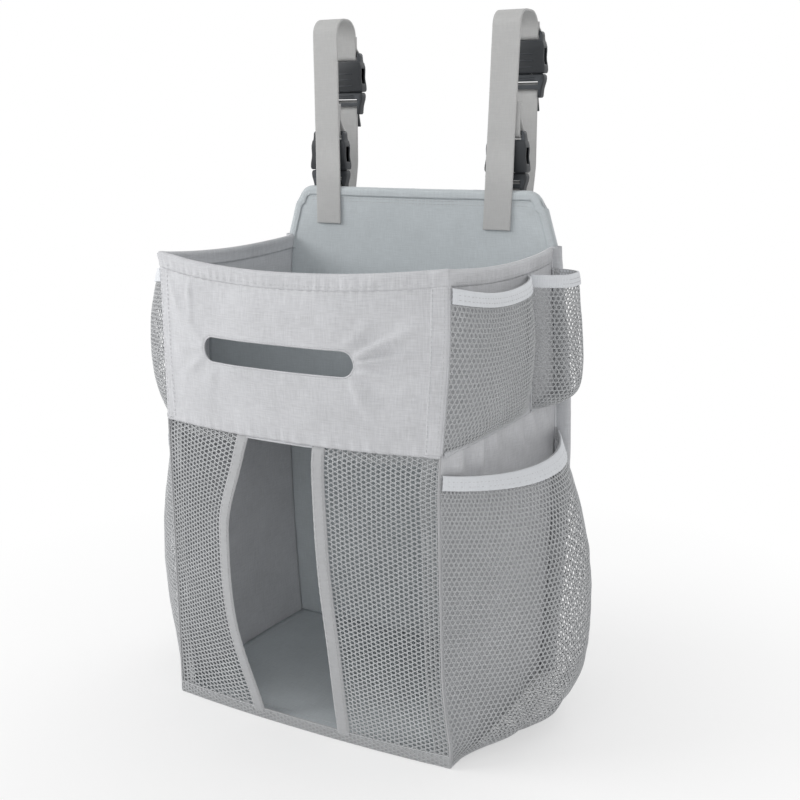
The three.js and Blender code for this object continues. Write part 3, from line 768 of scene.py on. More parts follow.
def flat_grid(wide: float, high: float, cell: float) -> tuple[BMesh, BMLayerItem]:
    """Starts a sheet as a flat grid whose corner is at the origin.

    Args:
        wide: width in millimetres.
        high: height in millimetres.
        cell: size of its squares in millimetres.

    Returns:
        The bmesh, in millimetres, and its layer for the place on the cloth.
    """
    work = bmesh.new()
    layer = work.loops.layers.uv.new(UV_NAME)
    columns, rows = max(1, round(wide / cell)), max(1, round(high / cell))
    bmesh.ops.create_grid(work, x_segments=columns, y_segments=rows, size=0.5)
    shift = Matrix.Translation((wide / 2, high / 2, 0)) @ Matrix.Diagonal((wide, high, 1, 1))
    bmesh.ops.transform(work, matrix=shift, verts=work.verts)
    return work, layer


def lay_out(work: BMesh, layer: BMLayerItem, place: Place, flat: Spot) -> None:
    """Keeps each corner's place on the flat cloth, then bends the cloth to its shape.

    Args:
        work: the flat cloth, in millimetres.
        layer: its layer for the place on the cloth.
        place: the surface.
        flat: width and height of the flat cloth.
    """
    for face in work.faces:
        for loop in face.loops:
            loop[layer].uv = (loop.vert.co.x * MM, loop.vert.co.y * MM)
    wide, high = flat
    for vert in work.verts:
        vert.co = sewn(place(vert.co.x / wide, vert.co.y / high))


def strip(
    name: str, place: Place, flat: Spot, cell: float, thickness: float,
    rounded: float = 0.0, closed: bool = False,
) -> Object:
    """Makes a piece of cloth of a given flat size, bent to a surface.

    Args:
        name: the piece's name.
        place: the surface, from shares across and up to millimetres.
        flat: its flat width and height in millimetres.
        cell: size of its squares in millimetres.
        thickness: of the cloth, in millimetres.
        rounded: radius of its edges, in millimetres.
        closed: whether its ends meet and are joined.

    Returns:
        The piece.
    """
    work, layer = flat_grid(*flat, cell)
    lay_out(work, layer, place, flat)
    if closed:
        bmesh.ops.remove_doubles(work, verts=work.verts, dist=JOIN)
    return thicken(finished(name, work), thickness, rounded)


def sheet(
    name: str, place: Place, cell: float, thickness: float, rounded: float = 0.0
) -> Object:
    """Makes a piece of cloth as large as the surface that it is bent to.

    Args:
        name: the piece's name.
        place: the surface, from shares across and up to millimetres.
        cell: size of its squares in millimetres.
        thickness: of the cloth, in millimetres.
        rounded: radius of its edges, in millimetres.

    Returns:
        The piece, with its flat size kept on it.
    """
    evened, flat = even(place)
    piece = strip(name, evened, flat, cell, thickness, rounded)
    piece["flat"] = [side * MM for side in flat]
    return piece


def closed_tube(name: str, place: Place, flat: Spot) -> Object:
    """Makes a tube from a surface whose first or second share runs round it.

    Args:
        name: the piece's name.
        place: the surface.
        flat: its flat width and height in millimetres.

    Returns:
        The piece.
    """
    work, layer = flat_grid(*flat, 1.0)
    lay_out(work, layer, place, flat)
    bmesh.ops.remove_doubles(work, verts=work.verts, dist=JOIN)
    bmesh.ops.holes_fill(work, edges=work.edges)
    bmesh.ops.recalc_face_normals(work, faces=work.faces)
    return finished(name, work)


def round_edges(work: BMesh, edges: list[BMEdge], radius: float) -> None:
    """Rounds some edges of a moulded piece.

    Args:
        work: its bmesh.
        edges: the edges.
        radius: in millimetres.
    """
    bmesh.ops.bevel(
        work, geom=edges, offset=radius * MM, offset_type="OFFSET", segments=2, profile=0.5,
        affect="EDGES", material=-1, clamp_overlap=True,
    )


def declare(piece: Object) -> None:
    """Reads the flat size kept on a piece, and does nothing more with it."""
    tuple(piece["flat"])


@dataclass(frozen=True)
class Crease:
    """A soft ridge in cloth, highest at its start and fading to its end."""

    start: Spot
    end: Spot
    height: float
    width: float

    def rise(self, x: float, z: float) -> float:
        """Finds how far it lifts the cloth.

        Args:
            x: place across.
            z: height.

        Returns:
            The lift.
        """
        dx, dz = self.end[0] - self.start[0], self.end[1] - self.start[1]
        length = hypot(dx, dz)
        along = ((x - self.start[0]) * dx + (z - self.start[1]) * dz) / length
        aside = abs((x - self.start[0]) * dz - (z - self.start[1]) * dx) / length
        share = along / length
        if share < -0.1 or share > 1:
            return 0.0
        fade = smooth_step(-0.1, 0.12, share) * (1 - smooth_step(0.25, 1.0, share))
        spread = self.width * (0.7 + 0.9 * clamp(share))
        return self.height * fade * exp(-((aside / spread) ** 2))


@dataclass
class Seamstress:
    """Sews rows of stitches along the pieces."""

    wardrobe: Wardrobe
    length: float = 2.5
    gap: float = 1.0
    radius: float = 0.24

    def row(self, name: str, runs: Iterable[Run]) -> None:
        """Sews stitches along runs.

        Args:
            name: the piece's name.
            runs: each a line from a share to millimetres, and the direction that the cloth faces.
        """
        work = bmesh.new()
        for line, facing in runs:
            self.run(work, line, facing)
        self.wardrobe.dress(finished(name, work), THREAD)

    def run(self, work: BMesh, line: Line, facing: Vector) -> None:
        """Adds one run's stitches to a bmesh.

        Args:
            work: the bmesh.
            line: the run, from a share to millimetres.
            facing: the direction that the cloth faces.
        """
        total = travelled([line(index / 60) for index in range(61)])[-1]
        count = max(1, round(total / (self.length + self.gap)))
        half = self.length / 2 / total
        for index in range(count):
            middle = (index + 0.5) / count
            ahead, behind = line(min(1.0, middle + half)), line(max(0.0, middle - half))
            along = (ahead - behind).normalized()
            side = facing.cross(along).normalized()
            turn = Matrix((along, side, along.cross(side))).transposed().to_4x4()
            size = Matrix.Diagonal((self.length / 2, self.radius, self.radius * 0.9, 1))
            place = Matrix.Translation(sewn(line(middle))) @ Matrix.Scale(MM, 4) @ turn @ size
            bmesh.ops.create_uvsphere(work, u_segments=6, v_segments=4, radius=1.0, matrix=place)


@dataclass(frozen=True)
class NetGauge:
    """The cells of a knitted net, in millimetres."""

    pitch: float = 3.7
    course: float = 3.3
    strand: float = 1.05
    yarn: float = 0.5
    upright: bool = False


def everything(work: BMesh) -> list[BMVert | BMEdge | BMFace]:
    """Returns all corners, edges and faces of a bmesh."""
    return work.verts[:] + work.edges[:] + work.faces[:]


def knit(work: BMesh, wide: float, high: float, gauge: NetGauge) -> None:
    """Fills a flat rectangle with open six-sided cells whose rows run across.

    Args:
        work: an empty bmesh.
        wide: the rectangle's width in millimetres.
        high: its height in millimetres.
        gauge: the cells.
    """
    columns = max(2, round(wide / gauge.pitch))
    pitch = wide / columns
    rise = gauge.course * pitch / gauge.pitch
    pairs = ceil(high / (2 * rise)) + 1
    turn = Matrix.Rotation(radians(30), 4, "Z")
    shape = Matrix.Diagonal((1, rise / (pitch * sqrt(0.75)), 1, 1)) @ turn
    bmesh.ops.create_circle(work, cap_ends=True, radius=pitch / sqrt(3), segments=6, matrix=shape)
    spread = {"cent": (0, 0, 0), "axis": (0, 0, 1), "angle": 0.0, "use_duplicate": True}
    bmesh.ops.spin(work, geom=everything(work), dvec=(pitch, 0, 0), steps=columns, **spread)
    row = bmesh.ops.duplicate(work, geom=everything(work))["geom"]
    shifted = [item for item in row if isinstance(item, BMVert)]
    bmesh.ops.translate(work, verts=shifted, vec=(-pitch / 2, rise, 0))
    bmesh.ops.spin(work, geom=everything(work), dvec=(0, 2 * rise, 0), steps=pairs, **spread)
    bmesh.ops.remove_doubles(work, verts=work.verts, dist=pitch * 0.08)
    for point, facing in (((0, 0), (-1, 0)), ((wide, 0), (1, 0)), ((0, 0), (0, -1)), ((0, high), (0, 1))):
        side = {"plane_co": (*point, 0), "plane_no": (*facing, 0), "dist": 1e-4}
        bmesh.ops.bisect_plane(work, geom=everything(work), clear_outer=True, **side)
    bmesh.ops.remove_doubles(work, verts=work.verts, dist=pitch * 0.05)
    smallest = pitch * rise * 0.18
    bmesh.ops.delete(work, geom=[face for face in work.faces if face.calc_area() < smallest], context="FACES")
    cells = work.faces[:]
    bmesh.ops.inset_individual(work, faces=cells, thickness=gauge.strand / 2, use_even_offset=True)
    bmesh.ops.delete(work, geom=cells, context="FACES")


def net(name: str, place: Place, gauge: NetGauge, across_at: float = 0.5) -> Object:
    """Makes a piece of net with open six-sided cells.

    Args:
        name: the piece's name.
        place: the surface that the net is drawn over.
        gauge: its cells.
        across_at: share up at which its width is measured.

    Returns:
        The piece.
    """
    evened, flat = even(place, across_at)
    work = bmesh.new()
    layer = work.loops.layers.uv.new(UV_NAME)
    knit(work, *(flat[::-1] if gauge.upright else flat), gauge)
    if gauge.upright:
        swapped = Matrix(((0, 1, 0, 0), (1, 0, 0, 0), (0, 0, 1, 0), (0, 0, 0, 1)))
        bmesh.ops.transform(work, matrix=swapped, verts=work.verts)
    lay_out(work, layer, evened, flat)
    return thicken(finished(name, work), gauge.yarn)


@dataclass
class Assembly:
    """A part of the organizer, with what it is shaped, dressed and sewn by."""

    form: BagForm
    wardrobe: Wardrobe
    seamstress: Seamstress


@dataclass
class BackPanel(Assembly):
    """The stiff panel that the bag hangs on: lining, board and outer ply, and the bound seams."""

    corner: float = 12.0
    hem: float = 11.0
    ply: float = 0.8
    strip_girth: float = 32.0
    strip_bend: Spot = (0.45, 0.7)
    stitch_drops: Spot = (9.0, 11.6)

    def outline_top(self, x: float) -> float:
        """Finds the height of the panel's top edge, rounded at the corners.

        Args:
            x: place across.

        Returns:
            The height.
        """
        top, half = self.form.panel_top, self.form.panel_top_half_width
        past = max(0.0, abs(x) - (half - self.corner))
        drop = self.corner - sqrt(max(0.0, self.corner**2 - min(past, self.corner) ** 2))
        return top - drop - 0.8 * cos(pi * x / (2 * half))

    def surface(self, depth: float, seed: float, u: float, v: float) -> Vector:
        """Returns a point of the panel.

        Args:
            depth: of its middle.
            seed: of its unevenness.
            u: share across.
            v: share up.

        Returns:
            The point.
        """
        half_top = self.form.panel_top_half_width + 0.6
        across = 2 * u - 1
        top = self.outline_top(across * half_top)
        z = lerp(0.5, top, v)
        half = self.form.panel_x(z)
        x = across * (min(half, half_top) if z > top - 1 else half)
        wave = 0.45 * rumple(x, z, 46, seed) * smooth_step(0, 30, self.form.panel_top - z)
        return Vector((x, depth + wave, z))

    def build(self) -> None:
        """Makes the panel's pieces."""
        lining = partial(self.surface, self.form.panel_front + self.ply / 2, 3.0)
        front = sheet("back_panel_lining", lining, 4.0, self.ply)
        self.wardrobe.dress(front, LINING, ["back_panel_front_ply"])
        outer = partial(self.surface, PANEL_REAR_FACE - self.ply / 2, 8.0)
        rear = sheet("back_panel_outer", outer, 4.0, self.ply)
        self.wardrobe.dress(rear, SHELL, ["back_panel_rear_ply"])
        for piece in (front, rear):
            declare(piece)
        self.wardrobe.cover(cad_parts["back_panel_board"], BOARD)
        self.edge_roll()
        for name, side in SIDES:
            self.binding(name, side)

    def outline(self) -> list[Vector]:
        """Follows the panel's free edge.

        Returns:
            Points from the left rim over the top to the right rim.
        """
        surface = partial(self.surface, 0.0, 3.0)
        low = (self.form.rim_height - 2) / self.form.panel_top
        upright = [surface(1.0, lerp(low, 0.995, step / 9)) for step in range(10)]
        level = [surface(1 - 0.5 * (step / 24) ** 1.5, 1.0) for step in range(25)]
        right = [Vector((point.x, point.z)) for point in upright + level]
        left = [Vector((-point.x, point.y)) for point in right]
        return left[:-1] + right[::-1]

    def edge_roll(self) -> None:
        """Rolls the lining over the panel's free edge and sews it twice along the top."""
        points = self.outline()
        lengths = travelled(points)
        front, rear = self.form.panel_front - 0.45, PANEL_REAR_FACE + 0.45
        radius, leg = (rear - front) / 2, 4.5
        girth = 2 * leg + pi * radius

        def along(distance: float) -> tuple[Vector, Vector]:
            """Finds a place on the edge.

            Args:
                distance: along it.

            Returns:
                The place and its outward direction.
            """
            index = 0
            while index < len(points) - 2 and lengths[index + 1] < distance:
                index += 1
            step = points[index + 1] - points[index]
            share = clamp((distance - lengths[index]) / (lengths[index + 1] - lengths[index]))
            before = points[max(0, index - 2)]
            after = points[min(len(points) - 1, index + 3)]
            heading = (after - before).normalized()
            return points[index] + step * share, Vector((-heading.y, heading.x))

        def fold(u: float, v: float) -> Vector:
            """Returns a point of the roll.

            Args:
                u: share along the edge.
                v: share round it.

            Returns:
                The point.
            """
            edge, outward = along(u * lengths[-1])
            travel = v * girth
            if travel < leg:
                depth, inset = front, radius + leg - travel
            elif travel > girth - leg:
                depth, inset = rear, radius + travel - (girth - leg)
            else:
                angle = (travel - leg) / radius
                depth, inset = (front + rear) / 2 - radius * cos(angle), radius * (1 - sin(angle))
            pucker = 0.15 * rumple(u * lengths[-1], v * girth, 7, 4.0)
            x, z = edge - outward * (inset - 0.5 - pucker)
            return Vector((x, depth, z))

        self.wardrobe.dress(strip("back_panel_edge_roll", fold, (lengths[-1], girth), 1.6, 0.6), LINING)
        rows = []
        for drop in self.stitch_drops:
            for depth, out in ((self.form.panel_front - 0.15, -1), (PANEL_REAR_FACE + 0.15, 1)):
                rows.append((partial(self.hem_line, drop, depth), Vector((0, out, 0))))
        self.seamstress.row("back_panel_stitches", rows)

    def hem_line(self, drop: float, depth: float, share: float) -> Vector:
        """Returns a point of a row of stitches below the panel's top edge.

        Args:
            drop: how far below the edge the row runs.
            depth: at which it lies.
            share: along the row.

        Returns:
            The point.
        """
        reach = self.form.panel_top_half_width - self.corner
        x = lerp(-reach, reach, share)
        return Vector((x, depth, self.outline_top(x) - drop))

    def binding(self, name: str, side: int) -> None:
        """Binds a rear seam with a folded strip of cloth, from the wall to the panel's edge.

        Args:
            name: of the side.
            side: -1 for the left, 1 for the right.
        """
        form = self.form
        low = edge_of(f"rear_binding_{name}", LOW, Y) - BAG_ORIGIN.y
        high = edge_of(f"rear_binding_{name}", HIGH, Y) - BAG_ORIGIN.y
        middle, reach = (low + high) / 2, (high - low) / 2 - 0.4
        bend_start, bend_end = self.strip_bend

        def fold(u: float, v: float) -> Vector:
            """Returns a point of the strip.

            Args:
                u: share round the seam.
                v: share up.

            Returns:
                The point.
            """
            z = lerp(0.6, form.rim_height, v)
            outer = form.panel_x(z) + 3.7
            inner, back = form.rear_x(z) + 0.5, form.panel_x(z) - 4.0
            bend = outer - reach * 0.8
            ripple = 0.3 * rumple(z, side, 9, 5.0) + 0.2 * rumple(z, u * 30, 24, 7.0)
            if u < bend_start:
                x = lerp(inner, bend, u / bend_start)
                puff = 0.7 * sin(pi * u / bend_start)
                return Vector((side * x, middle - reach - puff - ripple * 0.5, z))
            if u > bend_end:
                return Vector((side * lerp(bend, back, (u - bend_end) / (1 - bend_end)), middle + reach, z))
            angle = pi * ((u - bend_start) / (bend_end - bend_start) - 0.5)
            x = bend + (0.8 * reach + ripple) * cos(angle)
            return Vector((side * x, middle + reach * sin(angle), z))

        piece = strip(f"rear_binding_strip_{name}", fold, (self.strip_girth, form.rim_height), 1.6, 0.7)
        self.wardrobe.dress(piece, EDGING, [f"rear_binding_{name}"])

        def piping(u: float, v: float) -> Vector:
            """Returns a point of the piping between wall and strip.

            Args:
                u: share round it.
                v: share up.

            Returns:
                The point.
            """
            z, angle = lerp(0.8, form.rim_height - 4, v), 2 * pi * u
            x = form.rear_x(z) + 1.1 + 0.8 * cos(angle)
            return Vector((side * x, middle - reach - 0.9 + 0.8 * sin(angle), z))

        tube = closed_tube(f"rear_seam_piping_{name}", piping, (6.0, form.rim_height))
        self.wardrobe.dress(tube, PIPING)


@dataclass
class Shell(Assembly):
    """The woven walls: front with its slot, sides, rim hem and the pocket liner."""

    cloth: float = 1.2
    slot_length: float = 135.0
    slot_height: float = 20.0
    slot_x: float = -6.0
    slot_z: float = 303.0
    seam_strip: float = 11.0
    facing: Spot = (280.0, 13.0)
    facing_turn: float = 0.35
    hem: float = 10.0
    hem_radius: float = 1.7
    hem_close: float = 0.95
    stitch_drops: Spot = (8.6, 10.8)
    liner_y: float = -127.0
    creases: tuple[Crease, ...] = (
        Crease((59, 307), (114, 336), 4.6, 2.7),
        Crease((60, 304), (113, 314), 3.9, 2.4),
        Crease((59, 299), (104, 291), 3.0, 2.6),
        Crease((56, 296), (84, 258), 2.7, 5.0),
        Crease((52, 312), (88, 346), 1.5, 4.5),
        Crease((-72, 307), (-112, 340), 2.0, 3.6),
        Crease((-73, 302), (-112, 300), 1.3, 3.0),
        Crease((-71, 298), (-108, 272), 1.9, 3.6),
        Crease((-60, 294), (-80, 250), 1.4, 6.0),
        Crease((-88, 352), (-87, 308), 1.8, 2.6),
        Crease((-112, 352), (-92, 310), 1.8, 3.6),
    )

    @property
    def slot_reach(self) -> float:
        """Half the length of the slot's middle line."""
        return self.slot_length / 2 - self.slot_height / 2

    def slot_gap(self, x: float, z: float) -> float:
        """Returns the distance outside the slot's edge, negative inside it."""
        return self.slot_offset(x, z).length - self.slot_height / 2

    def slot_offset(self, x: float, z: float) -> Vector:
        """Returns the vector from the nearest point of the slot's middle line to a place."""
        along = clamp(x - self.slot_x, -self.slot_reach, self.slot_reach)
        return Vector((x - self.slot_x - along, z - self.slot_z))

    def front_lift(self, x: float, z: float) -> float:
        """Finds how far the front's cloth stands out from its smooth form.

        Args:
            x: place across.
            z: height.

        Returns:
            The distance.
        """
        form = self.form
        lip = self.slot_gap(x, z)
        lift = sum(crease.rise(x, z) for crease in self.creases) * lerp(0.25, 1.0, smooth_step(0, 9, lip))
        lift += 1.3 * rumple(x, z, 52, 1.0) + 0.5 * rumple(x, z * 0.7, 17, 2.0) + 0.12 * rumple(x, z, 5, 6.0)
        from_rim = form.rim_z(x) - z - self.hem
        lift += 0.3 * sin(x * 0.86 + 2 * rumple(x, 0, 21, 4.0)) * exp(-((from_rim / 7) ** 2))
        from_shelf = z - form.shelf_height
        lift += 0.35 * sin(x * 0.55 + 3 * rumple(x, 9, 27, 7.0)) * exp(-((from_shelf / 9) ** 2))
        lift += 0.3 * exp(-((lip / 4.5) ** 2)) * smooth_step(8, 40, abs(x - self.slot_x))
        edge = form.half_width - abs(x)
        return lift * smooth_step(0, 14, edge) + 0.5 * smooth_step(self.seam_strip + 1, self.seam_strip - 0.5, edge)

    def front_point(self, x: float, z: float, out: float = 0.0) -> Vector:
        """Returns a point of the front, out millimetres ahead of the cloth."""
        return Vector((x, self.form.front_y(x, z) - self.front_lift(x, z) - out, z))

    def side_lift(self, y: float, z: float) -> float:
        """Finds how far a side's cloth stands out from its smooth form.

        Args:
            y: depth.
            z: height.

        Returns:
            The distance.
        """
        gather = exp(-(((z - 230) / 16) ** 2))
        slant = y + 0.35 * (z - 231)
        waves = sin(slant * 0.22 + 4.5 * rumple(y, z * 0.4, 45, 3.0))
        lift = gather * (4.4 * waves * (0.65 + 0.7 * rumple(y, z * 0.3, 50, 21.0)) + 0.8)
        lift += 1.1 * rumple(y, z, 60, 11.0) + 0.3 * rumple(y, z, 15, 12.0)
        edge = min(y + self.form.depth, self.form.wall_rear - y)
        return lift * smooth_step(0, 12, edge)

    def side_point(self, side: int, y: float, z: float, out: float = 0.0) -> Vector:
        """Returns a point of a side wall, out millimetres outside the cloth."""
        x = self.form.side_x(y, z) + self.side_lift(y, z) * 0.6 + out
        return Vector((side * x, y, z))

    def build(self) -> None:
        """Makes the walls."""
        self.front()
        self.slot_facing()
        for name, side in SIDES:
            self.side(name, side)
            self.corner(name, side)
        self.rim()
        self.liner()
        self.front_stitches()

    def front(self) -> None:
        """Makes the front panel and opens its slot."""
        form = self.form
        half = form.half_width + 0.4
        low = form.shelf_height - 1.5
        work, layer = flat_grid(2 * half, form.rim_height - low, 1.9)
        for vert in work.verts:
            x = vert.co.x - half
            share = vert.co.y / (form.rim_height - low)
            vert.co = Vector((x, 0, lerp(low, form.rim_z(x), share)))
        cut = [face for face in work.faces if self.slot_gap(*face.calc_center_median().xz) < 0]
        bmesh.ops.delete(work, geom=cut, context="FACES")
        for edge in work.edges:
            if edge.is_boundary:
                for vert in edge.verts:
                    self.snap_to_slot(vert)
        for face in work.faces:
            for loop in face.loops:
                loop[layer].uv = ((loop.vert.co.x + half) * MM, (loop.vert.co.z - low) * MM)
        for vert in work.verts:
            vert.co = sewn(self.front_point(vert.co.x, vert.co.z))
        piece = thicken(finished("front_panel_cloth", work), self.cloth)
        piece["flat"] = [2 * half * MM, (form.rim_height - low) * MM]
        self.wardrobe.dress(piece, SHELL, ["front_panel"])
        declare(piece)

    def snap_to_slot(self, vert: BMVert) -> None:
        """Moves a corner of the cut onto the slot's true edge.

        Args:
            vert: the corner.
        """
        gap = self.slot_gap(vert.co.x, vert.co.z)
        if abs(gap) < 3.0:
            offset = self.slot_offset(vert.co.x, vert.co.z).normalized() * -gap
            vert.co.x += offset.x
            vert.co.z += offset.y

    def slot_line(self, share: float, out: float) -> Spot:
        """Finds a place beside the slot's edge.

        Args:
            share: round the slot.
            out: how far outside its edge.

        Returns:
            The place across and the height.
        """
        reach, radius = self.slot_reach, self.slot_height / 2
        straight, bend = 2 * reach, pi * radius
        travel = (share % 1.0) * 2 * (straight + bend)
        grown = radius + out
        if travel < straight:
            return self.slot_x - reach + travel, self.slot_z + grown
        travel -= straight
        if travel < bend:
            angle = pi / 2 - travel / radius
            return self.slot_x + reach + grown * cos(angle), self.slot_z + grown * sin(angle)
        travel -= bend
        if travel < straight:
            return self.slot_x + reach - travel, self.slot_z - grown
        angle = -pi / 2 - (travel - straight) / radius
        return self.slot_x - reach + grown * cos(angle), self.slot_z + grown * sin(angle)

    def facing_point(self, u: float, v: float) -> Vector:
        """Returns a point of the slot's facing.

        Args:
            u: share round the slot.
            v: share from the front's cloth to the facing's free edge.

        Returns:
            The point.
        """
        if v < self.facing_turn:
            angle = pi * v / self.facing_turn
            out, behind = 0.5 - 1.1 * sin(angle), -0.55 + 0.75 * (1 - cos(angle))
        else:
            out, behind = lerp(0.5, 9.0, (v - self.facing_turn) / (1 - self.facing_turn)), 0.95
        return self.front_point(*self.slot_line(u, out), -behind)

    def slot_facing(self) -> None:
        """Turns the slot's edge over to a facing behind the cloth."""
        piece = strip("slot_facing", self.facing_point, self.facing, 1.6, 0.5, closed=True)
        self.wardrobe.dress(piece, SHELL)

    def wall_point(self, side: int, u: float, v: float) -> Vector:
        """Returns a point of a side wall, from shares front to back and up."""
        y = lerp(-self.form.depth + 0.4, self.form.wall_rear, u)
        return self.side_point(side, y, lerp(0.5, self.form.side_rim_z(y) - 0.1, v))

    def side(self, name: str, side: int) -> None:
        """Makes one side wall.

        Args:
            name: of the side.
            side: -1 for the left, 1 for the right.
        """
        wall = sheet(f"side_wall_cloth_{name}", partial(self.wall_point, side), 3.2, self.cloth)
        self.wardrobe.dress(wall, SHELL, [f"side_wall_{name}"])
        declare(wall)

    def corner_point(self, side: int, u: float, v: float) -> Vector:
        """Returns a point of the seam allowance round a front corner.

        Args:
            side: -1 for the left, 1 for the right.
            u: share from the front round to the side.
            v: share up.

        Returns:
            The point.
        """
        form = self.form
        z = lerp(form.shelf_height + 0.5, form.rim_height - 1.0, v)
        travel = u * (self.seam_strip + 2.6)
        if travel < self.seam_strip:
            start, wide = (-0.2, 9) if side < 0 else (0.3, 2.6)
            out = lerp(start, 0.75, smooth_step(0, wide, travel))
            return self.front_point(side * (form.half_width - self.seam_strip + travel), z, out)
        y = -form.depth + (travel - self.seam_strip)
        wrap = smooth_step(0, 1.2, travel - self.seam_strip) * 0.2
        return Vector((side * (form.side_x(y, z) + 0.9 - wrap), y, z))

    def corner(self, name: str, side: int) -> None:
        """Folds the seam allowance round one front corner of the woven front."""
        fold = sheet(f"front_corner_seam_{name}", partial(self.corner_point, side), 1.6, 0.6)
        self.wardrobe.dress(fold, SHELL)

    def rim_path(self, u: float, drop: float, out: float) -> Vector:
        """Returns a point beside the rim.

        Args:
            u: share from the left rear round the front to the right rear.
            drop: how far below the rim.
            out: how far outside the cloth.

        Returns:
            The point.
        """
        form = self.form
        side_length, front_length = form.depth, form.width
        travel = u * (2 * side_length + front_length)
        if travel < side_length:
            y = max(form.wall_rear - travel, -form.depth)
            return self.rim_side(-1, y, drop, out)
        if travel > side_length + front_length:
            y = min(-form.depth + (travel - side_length - front_length), form.wall_rear)
            return self.rim_side(1, y, drop, out)
        x = travel - side_length - form.half_width
        reach = (form.half_width + out) / form.half_width
        z = form.rim_z(x) - drop
        return Vector((x * reach, self.front_point(x, z).y - out, z))

    def rim_side(self, side: int, y: float, drop: float, out: float) -> Vector:
        """Returns a point below the rim of a side wall, out millimetres outside its cloth."""
        ahead = out * smooth_step(-self.form.depth + 3, -self.form.depth, y)
        return self.side_point(side, y, self.form.side_rim_z(y) - drop, out) - Vector((0, ahead, 0))

    def hem_point(self, u: float, v: float) -> Vector:
        """Returns a point of the hem, which lies close to the cloth but for its rolled top.

        Args:
            u: share round the rim.
            v: share up the outside, over the rim and down the inside.

        Returns:
            The point.
        """
        radius, leg, close = self.hem_radius, self.hem, self.hem_close
        total = 2 * leg + pi * radius
        travel = v * total
        pucker = 0.2 * sin(u * 560 + 3 * rumple(u * 620, 0, 18, 2.0))
        if travel < leg:
            share = travel / leg
            stand = lerp(close, radius, smooth_step(0.35, 1, share)) - 0.65 * (1 - smooth_step(0, 0.14, share))
            return self.rim_path(u, leg - travel + radius, stand + pucker * (1 - share))
        if travel > total - leg:
            back = (travel - (total - leg)) / leg
            stand = lerp(radius, close, smooth_step(0, 0.65, back))
            return self.rim_path(u, radius + back * leg, -stand - pucker * back)
        angle = (travel - leg) / radius
        return self.rim_path(u, radius * (1 - sin(angle)) - 0.3, radius * cos(angle))

    def rim(self) -> None:
        """Folds the hem over the rim, gathered a little by its stitches."""
        flat = (2 * self.form.depth + self.form.width, 2 * self.hem + pi * self.hem_radius)
        self.wardrobe.dress(strip("rim_hem_cloth", self.hem_point, flat, 1.7, 0.7), SHELL, ["rim_hem"])

    def liner_point(self, u: float, v: float) -> Vector:
        """Returns a point of the liner behind the slotted front.

        Args:
            u: share across.
            v: share up.

        Returns:
            The point.
        """
        low, top = self.form.shelf_height + 3.0, edge_of("wipes_pocket_liner", HIGH, Z)
        half_top = self.form.side_x(self.liner_y, top) - 1.4
        across = 2 * u - 1
        z = lerp(low, top - 2.5 * (1 - across**2), v)
        x = across * (self.form.side_x(self.liner_y, z) - 1.4)
        bow = 1.6 * cos(x / half_top * pi / 2) * sin(pi * v)
        return Vector((x, self.liner_y + bow + 0.6 * rumple(x, z, 40, 15.0), z))

    def liner_hem_point(self, u: float, v: float) -> Vector:
        """Returns a point of the hem along the liner's top, from shares across and up."""
        return self.liner_point(u, lerp(0.91, 1.004, v)) + Vector((0, 0.7, 0))

    def liner(self) -> None:
        """Makes the liner that stands behind the slotted front, with a hemmed top."""
        liner = sheet("pocket_liner_cloth", self.liner_point, 4.0, 0.8)
        self.wardrobe.dress(liner, LINING, ["wipes_pocket_liner"])
        declare(liner)
        self.wardrobe.dress(sheet("pocket_liner_hem", self.liner_hem_point, 3.0, 0.6), LINING)

    def front_stitches(self) -> None:
        """Sews the hem and the corner seams."""
        rows = [(partial(self.rim_line, drop), FORWARD) for drop in self.stitch_drops]
        for _, side in SIDES:
            for inset in (self.seam_strip - 1.3, 1.8):
                rows.append((partial(self.corner_line, side, inset), FORWARD))
        self.seamstress.row("front_seam_stitches", rows)
        for name, side in SIDES:
            runs = [(partial(self.wall_line, side, drop), Vector((side, 0, 0))) for drop in self.stitch_drops]
            self.seamstress.row(f"side_hem_stitches_{name}", runs)

    def stand(self, drop: float) -> float:
        """Returns how far a stitch stands out, on the hem or below it."""
        return 1.4 if drop < self.hem else 0.75

    def rim_line(self, drop: float, share: float) -> Vector:
        """Returns a point of a row of stitches below the front rim, at a share along it."""
        x = lerp(-self.form.half_width + 2, self.form.half_width - 2, share)
        return self.front_point(x, self.form.rim_z(x) - drop, self.stand(drop))

    def wall_line(self, side: int, drop: float, share: float) -> Vector:
        """Returns a point of a row of stitches below a side's rim, at a share along it."""
        y = lerp(-self.form.depth + 4, self.form.wall_rear - 4, share)
        return self.side_point(side, y, self.form.side_rim_z(y) - drop, self.stand(drop))

    def corner_line(self, side: int, inset: float, share: float) -> Vector:
        """Returns a point of a row of stitches up a corner seam, at a share along it."""
        z = lerp(self.form.shelf_height + 2, self.form.rim_height - self.hem - 3, share)
        return self.front_point(side * (self.form.half_width - inset), z, 1.1)


